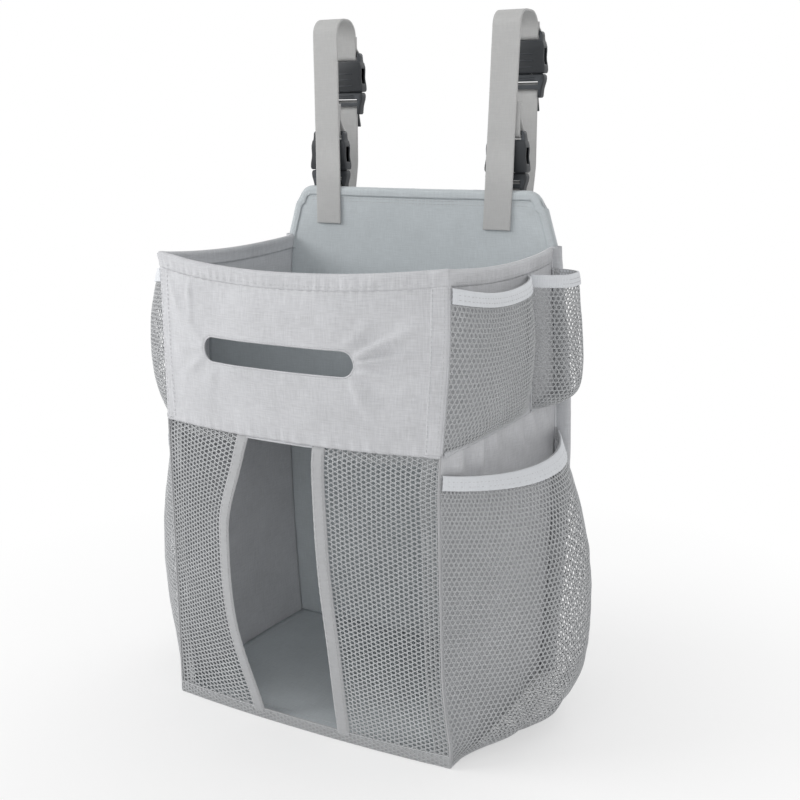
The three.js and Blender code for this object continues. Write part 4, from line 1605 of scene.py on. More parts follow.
@dataclass
class Floors(Assembly):
    """The shelf and the base: a board between two plies of cloth."""

    inset: float = 1.0

    def build(self) -> None:
        """Makes both floors."""
        for name, height in (("shelf", self.form.shelf_height), ("base", 0.0)):
            for layer, finish, seed in (("upper", LINING, 2.0), ("lower", SHELL, 6.0)):
                node = f"{name}_{layer}_ply"
                title = f"{name}_{'top' if layer == 'upper' else 'under'}_cloth"
                place = partial(self.ply_point, height, middle_of(node, Z), seed)
                piece = sheet(title, place, 5.0, 0.8)
                self.wardrobe.dress(piece, finish, [node])
                declare(piece)
            self.wardrobe.cover(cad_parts[f"{name}_board"], BOARD)
            self.edge_stitches(name, height)

    def ply_point(self, height: float, middle: float, seed: float, u: float, v: float) -> Vector:
        """Returns a point of one ply.

        Args:
            height: at which the bag's outline is read.
            middle: height of the ply.
            seed: of its unevenness.
            u: share across.
            v: share from front to back.

        Returns:
            The point.
        """
        form, across = self.form, 2 * u - 1
        front = form.front_y(across * form.half_width, height) + self.inset + 1.6
        y = lerp(front, form.wall_rear, v)
        x = across * (form.side_x(y, height) - self.inset)
        return Vector((x, y, middle + 0.15 * rumple(x, y, 35, seed)))

    def edge_stitches(self, name: str, height: float) -> None:
        """Sews round a floor's upper ply, near its edge.

        Args:
            name: of the floor.
            height: at which the bag's outline is read.
        """
        surface = partial(self.ply_point, height, edge_of(f"{name}_upper_ply", HIGH, Z) + 0.15, 2.0)
        ends = (
            ((0.04, 0.05), (0.96, 0.05)), ((0.04, 0.95), (0.96, 0.95)),
            ((0.03, 0.06), (0.03, 0.94)), ((0.97, 0.06), (0.97, 0.94)),
        )
        runs = [(partial(self.between, surface, low, high), UPWARD) for low, high in ends]
        self.seamstress.row(f"{name}_edge_stitches", runs)

    def between(self, surface: Place, low: Spot, high: Spot, share: float) -> Vector:
        """Returns a point of a surface at a share of the way between two places on it."""
        return surface(lerp(low[0], high[0], share), lerp(low[1], high[1], share))


@dataclass
class LowerFront(Assembly):
    """The lower bay's front: two nets, the tapes that edge the opening, and the bottom band."""

    gauge: NetGauge = NetGauge(3.54, 3.6, 1.05, upright=True)
    tape_width: float = 10.8
    tuck: float = 1.3
    fold: float = 13.0
    band_height: float = 10.0

    def front_y(self, x: float, z: float) -> float:
        """Returns the depth of the nets, which tuck in behind the woven front at their top."""
        shelf = self.form.shelf_height
        return self.form.front_y(x, z) + self.tuck * smooth_step(shelf - 16, shelf - 2, z)

    def surface(
        self, left: Edge, right: Edge, low: float, high: float, out: float = 0.0, seed: float = 0.0
    ) -> Place:
        """Makes a strip of the front between two edges.

        Args:
            left: its left edge at a height.
            right: its right edge at a height.
            low: its bottom.
            high: its top.
            out: how far it stands ahead of the front.
            seed: of its slackness; none if 0.

        Returns:
            The strip's surface.
        """

        def point(u: float, v: float) -> Vector:
            """Returns a point of the strip.

            Args:
                u: share across.
                v: share up.

            Returns:
                The point.
            """
            z = lerp(low, high, v)
            x = lerp(left(z), right(z), u)
            slack = 0.0
            if seed:
                slack = 1.3 * rumple(x, z, 38, seed) + 0.4 * rumple(x, z, 13, seed + 1)
                slack *= smooth_step(0, 9, min(x - left(z), right(z) - x)) * smooth_step(0, 12, min(z - low, high - z))
            return Vector((x, self.front_y(x, z) - out - slack, z))

        return point

    def build(self) -> None:
        """Makes the lower front's pieces."""
        form = self.form
        reach = self.tape_width / 2
        corner = form.half_width + 0.4
        low, high = 6.0, form.shelf_height - 0.8
        edges = {
            "left": (lambda z: -corner, lambda z: form.left_tape_x(z) - reach + 2.5, lambda z: -corner + self.fold),
            "right": (lambda z: form.right_tape_x(z) + reach - 2.5, lambda z: corner, lambda z: corner - self.fold),
        }
        for index, (name, (left, right, fold)) in enumerate(edges.items()):
            outer = (left, fold) if name == "left" else (fold, right)
            parts = (
                ("mesh", self.surface(left, right, low, high, 0.0, 3.0 + index), [f"front_net_{name}"]),
                ("fold", self.surface(*outer, low, high, -0.9), []),
                ("head", self.surface(left, right, high - 8, high, -1.0), []),
            )
            for kind, place, nodes in parts:
                self.wardrobe.dress(net(f"front_net_{kind}_{name}", place, self.gauge), NET, nodes)
        self.tape("left", form.left_tape_x)
        self.tape("right", form.right_tape_x)
        self.band()
        self.shelf_piping()
        for name, side in SIDES:
            self.corner_piping(name, side)

    def shelf_piping(self) -> None:
        """Runs a piping along the shelf's front edge, over the opening."""
        form, reach = self.form, self.tape_width / 2
        z = form.shelf_height - 2.6
        left, right = form.left_tape_x(z) + reach - 1, form.right_tape_x(z) - reach + 1

        def tube(u: float, v: float) -> Vector:
            """Returns a point of the piping.

            Args:
                u: share across.
                v: share round it.

            Returns:
                The point.
            """
            x, angle = lerp(left, right, u), 2 * pi * v
            ahead = form.front_y(x, z) + 1.2
            return Vector((x, ahead - 1.2 * cos(angle), z + 1.2 * sin(angle)))

        self.wardrobe.dress(closed_tube("shelf_front_piping", tube, (right - left, 7.5)), EDGING)

    def tape(self, name: str, middle: Edge) -> None:
        """Folds a tape over one net's free edge and sews it down both sides.

        Args:
            name: of the side.
            middle: the tape's middle at a height.
        """
        reach = self.tape_width / 2

        def fold(u: float, v: float) -> Vector:
            """Returns a point of the tape.

            Args:
                u: share across.
                v: share up.

            Returns:
                The point.
            """
            z = lerp(self.band_height - 4, self.form.shelf_height - 0.8, v)
            x = middle(z) + lerp(-reach, reach, u)
            crown = 0.9 * (1 - abs(2 * u - 1) ** 6) * (1 - 0.6 * smooth_step(228, 238, z))
            ripple = 0.12 * sin(z * 0.9 + 2 * rumple(z, 0, 16, 5.0))
            return Vector((x, self.front_y(x, z) - crown - ripple, z))

        piece = sheet(f"opening_tape_cloth_{name}", fold, 1.5, 1.2, 0.35)
        self.wardrobe.dress(piece, TAPE, [f"opening_tape_{name}"])
        runs = [(partial(self.tape_line, middle, inset), FORWARD) for inset in (-reach + 1.8, reach - 1.8)]
        self.seamstress.row(f"opening_tape_stitches_{name}", runs)

    def tape_line(self, middle: Edge, inset: float, share: float) -> Vector:
        """Returns a point of a row of stitches up a tape.

        Args:
            middle: the tape's middle at a height.
            inset: how far right of it the row runs.
            share: along the row.

        Returns:
            The point.
        """
        z = lerp(self.band_height, self.form.shelf_height - 6, share)
        x = middle(z) + inset
        return Vector((x, self.front_y(x, z) - 1.6, z))

    def band(self) -> None:
        """Makes the band along the bottom and the doubled net over it."""
        corner = self.form.half_width + 0.3

        def place(u: float, v: float) -> Vector:
            """Returns a point of the band.

            Args:
                u: share across.
                v: share up.

            Returns:
                The point.
            """
            z = lerp(0.4, self.band_height, v)
            x = lerp(-corner, corner, u)
            roll = 0.8 * sin(pi * v)
            return Vector((x, self.form.front_y(x, z) - roll - 0.2 * rumple(x, z, 12, 9.0), z))

        def line(share: float) -> Vector:
            """Returns a point of the band's stitches, at a share along them."""
            x = lerp(-corner + 3, corner - 3, share)
            return Vector((x, self.form.front_y(x, self.band_height) - 1.7, self.band_height - 1.6))

        self.wardrobe.dress(sheet("base_band_cloth", place, 2.0, 1.0), TAPE, ["base_front_band"])
        cover = net("base_band_net", lambda u, v: place(u, v) + 0.9 * FORWARD, self.gauge)
        self.wardrobe.dress(cover, NET)
        self.seamstress.row("base_band_stitches", [(line, FORWARD)])

    def corner_piping(self, name: str, side: int) -> None:
        """Runs a thin piping down one front corner of the lower bay.

        Args:
            name: of the side.
            side: -1 for the left, 1 for the right.
        """
        form = self.form

        def tube(u: float, v: float) -> Vector:
            """Returns a point of the piping.

            Args:
                u: share round it.
                v: share up.

            Returns:
                The point.
            """
            z = lerp(0.8, form.shelf_height, v)
            angle = 2 * pi * u
            x = form.half_width + 0.3 + 0.9 * cos(angle)
            return Vector((side * x, -form.depth - 0.3 + 0.9 * sin(angle), z))

        piping = closed_tube(f"lower_corner_piping_{name}", tube, (6.0, form.shelf_height))
        self.wardrobe.dress(piping, TAPE)


@dataclass(frozen=True)
class PocketForm:
    """One side pocket's shape."""

    name: str
    side: int
    start: float
    end: float
    bulge: float
    snug: float
    sharp: float
    bottom: float
    top: float
    corner_rise: float = 0.0
    rear_rise: float = 0.0
    sag: float = 0.0
    climb: float = 0.0
    sharp_front: float = 0.0
    skew: float = 1.0
    spread: float = 1.6
    roundness: float = 4.0
    mouth_roundness: float = 4.0
    slack: float = 1.4
    tuck: float = 0.0
    gauge: NetGauge = NetGauge()

    def foot_z(self, form: BagForm, y: float) -> float:
        """Returns the height of its foot, which may climb towards the back, at a depth."""
        return self.bottom + self.climb * (1 + y / form.depth)

    def swell(self, u: float, v: float) -> float:
        """Finds how far it stands out.

        Args:
            u: share from front to back.
            v: share up.

        Returns:
            0 at its seams, 1 at its fullest.
        """
        height, along = clamp(v), clamp(u)
        near_mouth = height**7
        power = lerp(self.roundness, self.mouth_roundness, near_mouth)
        across = 1 - abs(2 * along**self.skew - 1) ** power
        sharp = lerp(self.sharp_front or self.sharp, self.sharp, along)
        return across * (1 - (1 - height) ** sharp) * (1 - self.snug * near_mouth)

    def point(self, form: BagForm, u: float, v: float, out: float = 0.0, slack: float = 0.0) -> Vector:
        """Returns a point of the pocket's net.

        Args:
            form: the bag's form.
            u: share from front to back.
            v: share up.
            out: how far outside the net.
            slack: how deep its folds are.

        Returns:
            The point.
        """
        y = lerp(self.start, self.end, u)
        along = clamp(u)
        top = self.top + self.corner_rise * (1 - along) ** 4 + self.rear_rise * along**5
        top -= self.sag * sin(pi * along)
        z = lerp(self.foot_z(form, y), top, max(0.0, v) ** self.spread)
        fullness = self.swell(u, v)
        folds = slack * fullness * self.folds(y, z) if slack else 0.0
        stand = lerp(1.1, 1.7, smooth_step(0, 0.05, along))
        x = form.side_x(y, z) + stand + out + self.bulge * fullness + folds
        return Vector((self.side * x, y, z))

    def folds(self, y: float, z: float) -> float:
        """Finds the drape's folds.

        Args:
            y: depth.
            z: height.

        Returns:
            Their rise, from about -1 to 1.
        """
        seed = 20 + self.start * 0.01 + self.side
        hang = sin(y * 0.16 + 2.5 * rumple(y, z, 60, seed)) * exp(-(((z - self.bottom) / 45) ** 2))
        tuck = self.tuck * exp(-(((y + 128 + 0.12 * z) / 6) ** 2)) * (1 - smooth_step(45, 105, z))
        return 0.7 * rumple(y, z * 0.6, 34, seed) + 0.25 * rumple(y, z, 12, seed + 1) + 0.5 * hang - tuck


@dataclass
class SidePockets(Assembly):
    """Net pockets on both sides, their elastic mouths and the tapes that hold their edges."""

    front: float = -183.8
    rear: float = -7.0
    divider: float = -61.0
    divider_gap: float = 3.0
    band_height: float = 10.5
    band_out: float = 1.1
    band_rows: Spot = (0.3, 0.62)

    def pockets(self) -> list[PocketForm]:
        """Gives every pocket its shape.

        Returns:
            The pockets' forms.
        """
        low = self.form.shelf_height + 0.5
        rear_start = self.divider + self.divider_gap
        mouth = {"corner_rise": 4, "sag": 5}
        right_front = {"bulge": 17, "snug": 0.5, "sharp": 3, **mouth}
        left_front = {"bulge": 39, "snug": 0.5, "sharp": 5, **mouth}
        right_lower = {"bulge": 59.5, "sharp": 4.5, "sharp_front": 8.5, "skew": 1.3, "roundness": 2.5}
        left_lower = {"bulge": 58, "sharp": 3.2, "roundness": 2.6}
        deep = {"corner_rise": 12, "rear_rise": 9, "mouth_roundness": 2.2, "slack": 3.0, "tuck": 1.6}
        upper = {"top": 355, "bottom": low, "climb": 11.0}
        found = []
        for name, side in SIDES:
            front = right_front if side > 0 else left_front
            lower = right_lower if side > 0 else left_lower
            found.append(PocketForm(f"upper_front_{name}", side, self.front, self.divider, **front, **upper))
            found.append(PocketForm(f"upper_rear_{name}", side, rear_start, self.rear, 30, 0.12, 7, **upper))
            found.append(PocketForm(f"lower_{name}", side, self.front, self.rear, snug=0.62, bottom=3, top=214,
                                    gauge=NetGauge(4.0, 3.57, 1.13), **deep, **lower))
        return found

    def build(self) -> None:
        """Makes the pockets."""
        for pocket in self.pockets():
            place = partial(pocket.point, self.form, slack=pocket.slack)
            mesh = net(f"{pocket.name}_net", place, pocket.gauge, across_at=0.6)
            self.wardrobe.dress(mesh, NET, [f"{pocket.name}_pocket"])
            self.mouth(pocket)
            self.edge_tapes(pocket)

    def band_point(self, pocket: PocketForm, u: float, share: float, out: float) -> Vector:
        """Returns a point of a pocket's elastic band.

        Args:
            pocket: the pocket.
            u: share along the band.
            share: share up the band.
            out: how far outside the net.

        Returns:
            The point.
        """
        span = pocket.top - pocket.bottom
        low = (1 - self.band_height / span) ** (1 / pocket.spread)
        base = pocket.point(self.form, u, lerp(low, 1.0, share))
        return base + Vector((pocket.side * out, 0, 0))

    def band_line(self, pocket: PocketForm, at: float, share: float) -> Vector:
        """Returns a point of a row of stitches along a pocket's band, at a share along it."""
        return self.band_point(pocket, lerp(0.02, 0.96, share), at, self.band_out + 0.8)

    def mouth_point(self, pocket: PocketForm, u: float, v: float) -> Vector:
        """Returns a point of a pocket's band, gathered and pinched by its stitches.

        Args:
            pocket: the pocket.
            u: share along the band.
            v: share up.

        Returns:
            The point.
        """
        along = lerp(0.0, 0.975, u)
        gather = 0.35 * sin(along * (pocket.end - pocket.start) * 1.15 + 2 * rumple(along * 90, 0, 9, 3.0))
        crown = 0.5 * (1 - abs(2 * v - 1) ** 4)
        pinch = 0.35 * sum(exp(-(((v - at) / 0.07) ** 2)) for at in self.band_rows)
        return self.band_point(pocket, along, v, self.band_out + crown - pinch + gather * (1 - v) * 0.8)

    def mouth(self, pocket: PocketForm) -> None:
        """Makes a pocket's elastic band and its stitches.

        Args:
            pocket: the pocket.
        """
        band = sheet(f"{pocket.name}_elastic_band", partial(self.mouth_point, pocket), 1.5, 1.1, 0.3)
        self.wardrobe.dress(band, BAND, [f"{pocket.name}_elastic"])
        runs = [(partial(self.band_line, pocket, at), Vector((pocket.side, 0, 0))) for at in self.band_rows]
        self.seamstress.row(f"{pocket.name}_elastic_stitches", runs)

    def upright_point(self, pocket: PocketForm, y: float, turn: int, u: float, v: float) -> Vector:
        """Returns a point of the seam up one edge of a pocket.

        Args:
            pocket: the pocket.
            y: the edge's depth.
            turn: 1 or -1, to which side of it the seam lies.
            u: share from front to back.
            v: share up.

        Returns:
            The point.
        """
        z = lerp(pocket.foot_z(self.form, y), pocket.top, v)
        depth = y + turn * lerp(-0.8, 2.6, u)
        crown = 0.5 * sin(pi * u) + 0.15 * rumple(z, y, 10, 2.0)
        return Vector((pocket.side * (self.form.side_x(depth, z) + 2.0 + crown), depth, z))

    def foot_point(self, pocket: PocketForm, u: float, v: float) -> Vector:
        """Returns a point of the gathered seam at a pocket's foot.

        Args:
            pocket: the pocket.
            u: share from front to back.
            v: share up.

        Returns:
            The point.
        """
        y = lerp(pocket.start, pocket.end, u)
        z = pocket.foot_z(self.form, y) + lerp(-1.6, 2.4, v)
        gather = 0.35 * sin(y * 1.3 + 2 * rumple(y, 0, 11, 5.0)) * sin(pi * v)
        return Vector((pocket.side * (self.form.side_x(y, z) + 2.3 + 0.5 * sin(pi * v) + gather), y, z))

    def edge_tapes(self, pocket: PocketForm) -> None:
        """Binds a pocket's upright edges and its foot to the wall with narrow seams.

        Args:
            pocket: the pocket.
        """
        edges = [("rear", pocket.end, -1)]
        if pocket.start > self.front:
            edges.append(("front", pocket.start, 1))
        for label, y, turn in edges:
            seam = sheet(f"{pocket.name}_{label}_seam", partial(self.upright_point, pocket, y, turn), 1.6, 0.7)
            self.wardrobe.dress(seam, EDGING)
        if pocket.climb:
            seam = sheet(f"{pocket.name}_foot_seam", partial(self.foot_point, pocket), 1.2, 0.7)
            self.wardrobe.dress(seam, EDGING)


@dataclass
class StrapPath:
    """A strap's course seen from the side: depth and height in millimetres."""

    points: list[Vector] = field(default_factory=list)

    def line(self, *stops: Spot) -> "StrapPath":
        """Adds straight stretches."""
        self.points.extend(Vector(stop) for stop in stops)
        return self

    def curve(self, first: Spot, second: Spot, end: Spot) -> "StrapPath":
        """Adds a curve.

        Args:
            first: the point that steers its start.
            second: the point that steers its end.
            end: its end.

        Returns:
            The path.
        """
        start = self.points[-1]
        for index in range(1, 13):
            share = index / 12
            rest = 1 - share
            point = start * rest**3 + Vector(first) * (3 * rest**2 * share)
            point += Vector(second) * (3 * rest * share**2) + Vector(end) * share**3
            self.points.append(point)
        return self

    def arc(self, centre: Spot, radius: float, start: float, end: float) -> "StrapPath":
        """Adds an arc.

        Args:
            centre: its centre.
            radius: its radius.
            start: first angle in degrees.
            end: last angle in degrees.

        Returns:
            The path.
        """
        for index in range(13):
            angle = radians(lerp(start, end, index / 12))
            self.points.append(Vector(centre) + radius * Vector((cos(angle), sin(angle))))
        return self


@dataclass
class Hanger(Assembly):
    """One webbing loop with its two side-release buckles."""

    name: str
    x: float
    width: float = 25.0
    webbing: float = 1.6
    loop_top: float = 557.0
    loop_corner: float = 13.0
    lap: float = 18.0
    tail_end: float = 383.0
    tail_y: float = -5.7
    wrap: float = 3.45
    bar_height: float = 31.7
    lower_y: float = 5.9
    sewn_y: float = 1.7
    fold_radius: float = 2.1
    anchor_sewn: Spot = (335.0, 372.0)
    rear_sewn: Spot = (245.0, 285.0)
    rear_straight: float = 436.0
    foot_lean: float = 0.0
    set_off: float = 0.54
    turn_drop: float = 1.2
    shell_length: float = 33.5
    free_run: float = 22.0
    threaded_end: float = 5.0
    ladder_drops: tuple[float, float, float] = (17.3, 11.7, 9.7)
    lean_fade: float = 160.0

    def mouth(self, level: str) -> float:
        """Returns the height of a buckle's mouth."""
        return edge_of(f"{self.name}_{level}_buckle_shell", HIGH, Z) - self.shell_length

    def plane(self, level: str) -> float:
        """Returns the depth of a buckle's middle."""
        return middle_of(f"{self.name}_{level}_buckle_shell", Y) - BAG_ORIGIN.y

    def build(self) -> None:
        """Makes the hanger's webbing and buckles."""
        self.strap("main", self.main_path(), 0.55)
        self.strap("keeper", self.keeper_path(), 0.0)
        lower, upper = f"{self.name}_lower_insert", f"{self.name}_upper_insert"
        anchor_path = self.threaded(self.anchor_sewn, self.anchor_sewn[1] + self.free_run, "lower")
        rear_path = self.threaded(self.rear_sewn, self.rear_straight, "upper")
        self.strap("anchor", anchor_path, 0.0, lower, (self.anchor_sewn[1], self.mouth("lower") - self.free_run))
        self.strap("rear", rear_path, 0.0, upper, (self.rear_sewn[1], self.mouth("upper") - self.free_run))
        self.box_stitches("anchor", self.anchor_sewn)
        self.box_stitches("rear", self.rear_sewn)
        for level in ("upper", "lower"):
            self.buckle(f"{self.name}_{level}_buckle_shell", BAG)
            self.buckle(f"{self.name}_{level}_buckle_male", f"{self.name}_{level}_insert")

    def main_path(self) -> StrapPath:
        """Lays the long strap from its sewn end over the rail to the upper buckle's bar.

        Returns:
            The course.
        """
        depth = self.plane("upper") - self.wrap
        spring = self.loop_top - self.loop_corner
        bar_y, bar_z = self.plane("upper"), self.mouth("upper") + self.bar_height
        top = self.form.panel_top
        path = StrapPath().line((self.tail_y, self.tail_end), (self.tail_y, top + 1))
        path.curve((self.tail_y, top + 20), (0, top + 24), (0, top + 46)).line((0, spring))
        path.arc((self.loop_corner, spring), self.loop_corner, 180, 90)
        path.arc((depth - self.loop_corner, spring), self.loop_corner, 90, 0)
        path.arc((bar_y, bar_z - self.turn_drop), self.wrap, 180, 360)
        lap = depth + self.webbing + SEAM_GAP
        lap_end = max(bar_z + self.lap / 2, min(bar_z + self.lap, spring))
        return path.curve((bar_y + self.wrap, bar_z + 4), (lap, bar_z + 2), (lap, bar_z + 7)).line((lap, lap_end))

    def keeper_path(self) -> StrapPath:
        """Lays the short loop that holds the lower shell's bar.

        Returns:
            The course.
        """
        bar_z = self.mouth("lower") + self.bar_height
        first = self.webbing + SEAM_GAP
        second = first + self.webbing + SEAM_GAP
        path = StrapPath().line((first, bar_z + 25), (first, bar_z + 6), (self.lower_y - self.wrap, bar_z + 1))
        path.arc((self.lower_y, bar_z), self.wrap, 180, 360)
        return path.line((self.lower_y + self.wrap, bar_z + 3), (second, bar_z + 12), (second, bar_z + 25))

    def threaded(self, sewn: Spot, straight: float, level: str) -> StrapPath:
        """Returns the course from the back panel through a male half's ladder slots.

        Args:
            sewn: lowest and highest height at which it is sewn down.
            straight: height from which it hangs straight.
            level: which buckle.

        Returns:
            The course.
        """
        plane, mouth = self.plane(level), self.mouth(level)
        front, behind = plane - 1.6, plane + 0.9
        entry, through, bend = (mouth - drop for drop in self.ladder_drops)
        path = StrapPath().line((self.sewn_y, sewn[0]), (self.sewn_y, sewn[1]))
        path.curve((self.sewn_y, sewn[1] + 14), (front, straight - 10), (front, straight))
        path.line((front, entry), (behind, through), (behind, bend))
        path.arc((behind + self.fold_radius, bend), self.fold_radius, 180, 0)
        return path.line((plane + 5.2, mouth - 14), (plane + 6.3, mouth - 14 - self.threaded_end))

    def strap(self, kind: str, path: StrapPath, sway: float, insert: str = "", span: Spot = (0, 0)) -> None:
        """Makes one piece of webbing along a path.

        Args:
            kind: which webbing.
            path: its course.
            sway: how far its free stretches lean, in millimetres.
            insert: the body that pulls its upper end, if one does.
            span: heights between which it gives way to that body.
        """
        lengths = travelled(path.points)
        total = lengths[-1]

        def centre(distance: float) -> Vector:
            """Finds the path's point.

            Args:
                distance: along it.

            Returns:
                The point.
            """
            for index in range(len(lengths) - 1):
                if distance <= lengths[index + 1] or index == len(lengths) - 2:
                    share = (distance - lengths[index]) / max(1e-6, lengths[index + 1] - lengths[index])
                    return path.points[index].lerp(path.points[index + 1], clamp(share))
            return path.points[-1]

        def place(u: float, v: float) -> Vector:
            """Returns a point of the webbing.

            Args:
                u: share across.
                v: share along.

            Returns:
                The point.
            """
            distance = v * total
            point = centre(distance)
            side = (u - 0.5) * (self.width - 0.3)
            lean = sway * rumple(distance, self.x, 70, 1.0)
            if kind == "main":
                lean += self.foot_lean * clamp(1 - distance / self.lean_fade) + self.set_off * max(0.0, -point.x)
            return Vector((self.x + side + lean, point.x + 0.12 * rumple(side, distance, 20, 6.0), point.y))

        flat = (self.width, total)
        piece = strip(f"{self.name}_{kind}_strap", place, flat, 1.6, self.webbing - 0.1, 0.45)
        if insert:
            low, high = (tuple(to_frame(Vector((self.x, self.sewn_y, height)))) for height in span)
            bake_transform(piece, BAG, insert, start=low, end=high)
        self.wardrobe.dress(piece, STRAP, [f"{self.name}_{kind}_webbing"])

    def box_stitches(self, kind: str, sewn: Spot) -> None:
        """Sews a strap's end down with a crossed box.

        Args:
            kind: which webbing.
            sewn: lowest and highest height of the end.
        """
        left, right = self.x - self.width / 2 + 2.5, self.x + self.width / 2 - 2.5
        low, high = sewn[0] + 2.5, sewn[1] - 3.0
        corners = [(left, low), (right, low), (right, high), (left, high)]
        pairs = list(zip(corners, corners[1:] + corners[:1])) + [(corners[0], corners[2]), (corners[1], corners[3])]
        runs = [(partial(self.box_line, start, end), -FORWARD) for start, end in pairs]
        self.seamstress.row(f"{self.name}_{kind}_box_stitches", runs)

    def box_line(self, start: Spot, end: Spot, share: float) -> Vector:
        """Returns a point of a row of stitches between two places on a sewn end, at a share along it."""
        depth = self.sewn_y + self.webbing / 2 + 0.1
        return Vector((lerp(start[0], end[0], share), depth, lerp(start[1], end[1], share)))

    def buckle(self, node: str, body: str) -> None:
        """Rounds the edges of one moulded half and gives it grip ridges.

        Args:
            node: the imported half.
            body: the body that it rides on.
        """
        work = bmesh.new()
        work.from_mesh(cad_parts[node].data)
        bmesh.ops.remove_doubles(work, verts=work.verts, dist=0.01 * MM)
        limit = radians(3)
        bmesh.ops.dissolve_limit(work, angle_limit=limit, verts=work.verts, edges=work.edges)
        sharp = [edge for edge in work.edges if edge.is_manifold and edge.calc_face_angle() > radians(24)]
        round_edges(work, sharp, 0.32)
        bmesh.ops.triangulate(work, faces=[face for face in work.faces if len(face.verts) > 4])
        self.ridges(work, node)
        piece = finished(f"{node}_moulding", work)
        self.wardrobe.dress(piece, BUCKLE, [node], body)

    def ridges(self, work: BMesh, node: str) -> None:
        """Adds bars that a thumb would feel, on a shell's faces or a male half's tab.

        Args:
            work: the half's bmesh.
            node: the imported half.
        """
        level = "upper" if "upper" in node else "lower"
        plane, mouth = self.plane(level), self.mouth(level)
        if node.endswith("shell"):
            bars = [(17.0, 5.0 + 5.2 * step, 4.65) for step in range(3)]
            faces = (-1, 1)
        else:
            bars = [(20.0, -3.4, 3.6), (20.0, -5.2, 3.6)]
            faces = (-1,)
        for wide, height, out in bars:
            for facing in faces:
                centre = to_frame(Vector((self.x, plane + facing * out, mouth + height)))
                size = Matrix.Diagonal((wide * MM, 0.9 * MM, 1.1 * MM, 1))
                made = bmesh.ops.create_cube(work, size=1.0, matrix=Matrix.Translation(centre) @ size)
                round_edges(work, list({edge for vert in made["verts"] for edge in vert.link_edges}), 0.3)


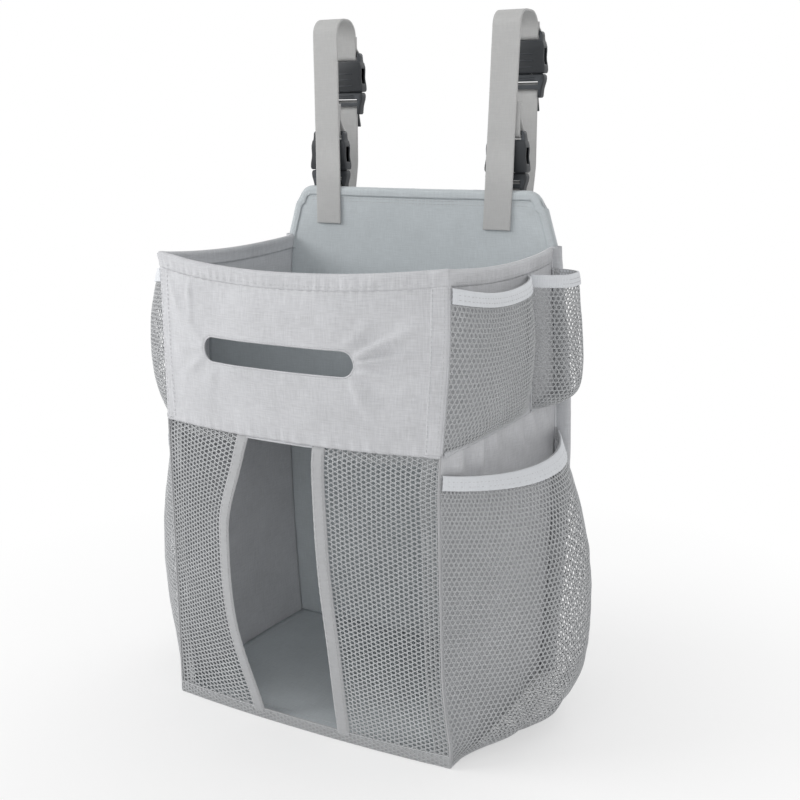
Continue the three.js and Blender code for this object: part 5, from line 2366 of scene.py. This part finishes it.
@dataclass
class Studio:
    """The floor, the light and the camera."""

    frame_pixels: float = 800.0
    focal_pixels: float = 1125.4
    axis_pixel: float = 418.7
    sensor: float = 36.0
    camera_mm: tuple[float, float, float] = (467.74, -858.33, 459.28)
    target_mm: tuple[float, float, float] = (1.8, 0.0, 229.5)
    lamp_target: tuple[float, float, float] = (0.0, 0.0, 0.25)
    lamp_table: tuple[tuple[str, tuple[float, float, float], float, float], ...] = (
        ("key", (-2.2, -1.15, 1.5), 1.4, 37.0),
        ("fill", (1.35, -2.0, 1.1), 1.3, 8.5),
        ("back", (0.4, 1.8, 1.6), 1.6, 12.0),
    )
    floor_reach: float = 6.0
    shadow_reach: float = 0.16
    daylight: float = 0.55

    def build(self) -> None:
        """Sets up the whole studio."""
        self.camera()
        self.lamps()
        self.floor()
        self.world()
        bpy.context.scene.view_settings.view_transform = "Standard"

    def camera(self) -> None:
        """Stands the camera where the photograph was taken from."""
        data = bpy.data.cameras.new("camera")
        data.sensor_width = self.sensor
        data.lens = self.focal_pixels * self.sensor / self.frame_pixels
        data.shift_x = (self.frame_pixels / 2 - self.axis_pixel) / self.frame_pixels
        camera = bpy.data.objects.new("camera", data)
        camera.location = to_frame(Vector(self.camera_mm))
        aim = to_frame(Vector(self.target_mm)) - camera.location
        camera.rotation_euler = aim.to_track_quat("-Z", "Y").to_euler()
        bpy.context.scene.collection.objects.link(camera)
        bpy.context.scene.camera = camera

    def lamp(self, name: str, place: tuple[float, float, float], size: float, power: float) -> None:
        """Hangs one soft lamp that faces the bag.

        Args:
            name: of the lamp.
            place: in metres.
            size: of its square, in metres.
            power: in watts.
        """
        data = bpy.data.lights.new(name, "AREA")
        data.shape = "SQUARE"
        data.size = size
        data.energy = power
        lamp = bpy.data.objects.new(name, data)
        lamp.location = place
        aim = Vector(self.lamp_target) - lamp.location
        lamp.rotation_euler = aim.to_track_quat("-Z", "Y").to_euler()
        bpy.context.scene.collection.objects.link(lamp)

    def lamps(self) -> None:
        """Hangs the key, the fill and the back light."""
        for name, place, size, power in self.lamp_table:
            self.lamp(name, place, size, power)

    def world(self) -> None:
        """Lights the bag evenly and shows a white background."""
        world = bpy.data.worlds.new("studio")
        bpy.context.scene.world = world
        world.use_nodes = True
        nodes = NodeTree(world.node_tree)
        light = nodes.node("ShaderNodeBackground", inputs={"Color": WHITE, "Strength": self.daylight})
        white = nodes.node("ShaderNodeBackground", inputs={"Color": WHITE, "Strength": 1.0})
        nodes.node("ShaderNodeOutputWorld", inputs={"Surface": nodes.mixed(nodes.seen(), light, white)})

    def floor(self) -> None:
        """Lays the pale floor under the bag."""
        work = bmesh.new()
        bmesh.ops.create_grid(work, x_segments=1, y_segments=1, size=self.floor_reach)
        piece = finished("floor", work, smooth=False)
        piece.data.materials.append(self.floor_finish().material)

    def floor_finish(self) -> Shader:
        """Makes a pale finish that keeps the bag's shadow and turns white away from it.

        Returns:
            Its shader.
        """
        shader = Shader("pale_floor")
        shader.set(Base_Color=(0.93, 0.93, 0.93, 1.0), Roughness=0.9, Specular_IOR_Level=0.1)
        split = shader.node("ShaderNodeSeparateXYZ", inputs={0: shader.object_place()})
        x, y = Value(shader, split.outputs[0]), Value(shader, split.outputs[1])
        distance = shader.maths("SQRT", x * x + y * y, 0.0)
        fade = ((distance - self.shadow_reach) * 2.6).held() * 0.5 + 0.5
        white = shader.node("ShaderNodeEmission", inputs={"Color": WHITE, "Strength": 1.0})
        shader.feed(shader.output.inputs["Surface"], shader.mixed(fade * shader.seen(), shader.surface, white))
        return shader


def main() -> None:
    """Builds the organizer piece by piece and sets up its studio."""
    logging.basicConfig(level=logging.INFO, format="%(name)s %(message)s")
    form = BagForm()
    wardrobe = Wardrobe()
    seamstress = Seamstress(wardrobe)
    Studio().build()
    for assembly in (BackPanel, Shell, Floors, LowerFront, SidePockets):
        assembly(form, wardrobe, seamstress).build()
    for name, foot_lean in FOOT_LEANS.items():
        x = middle_of(f"{name}_main_webbing", X) - BAG_ORIGIN.x
        Hanger(form, wardrobe, seamstress, name, x, foot_lean=foot_lean).build()
    log.info("%d pieces dressed", wardrobe.count)


if __name__ == "__main__":
    main()
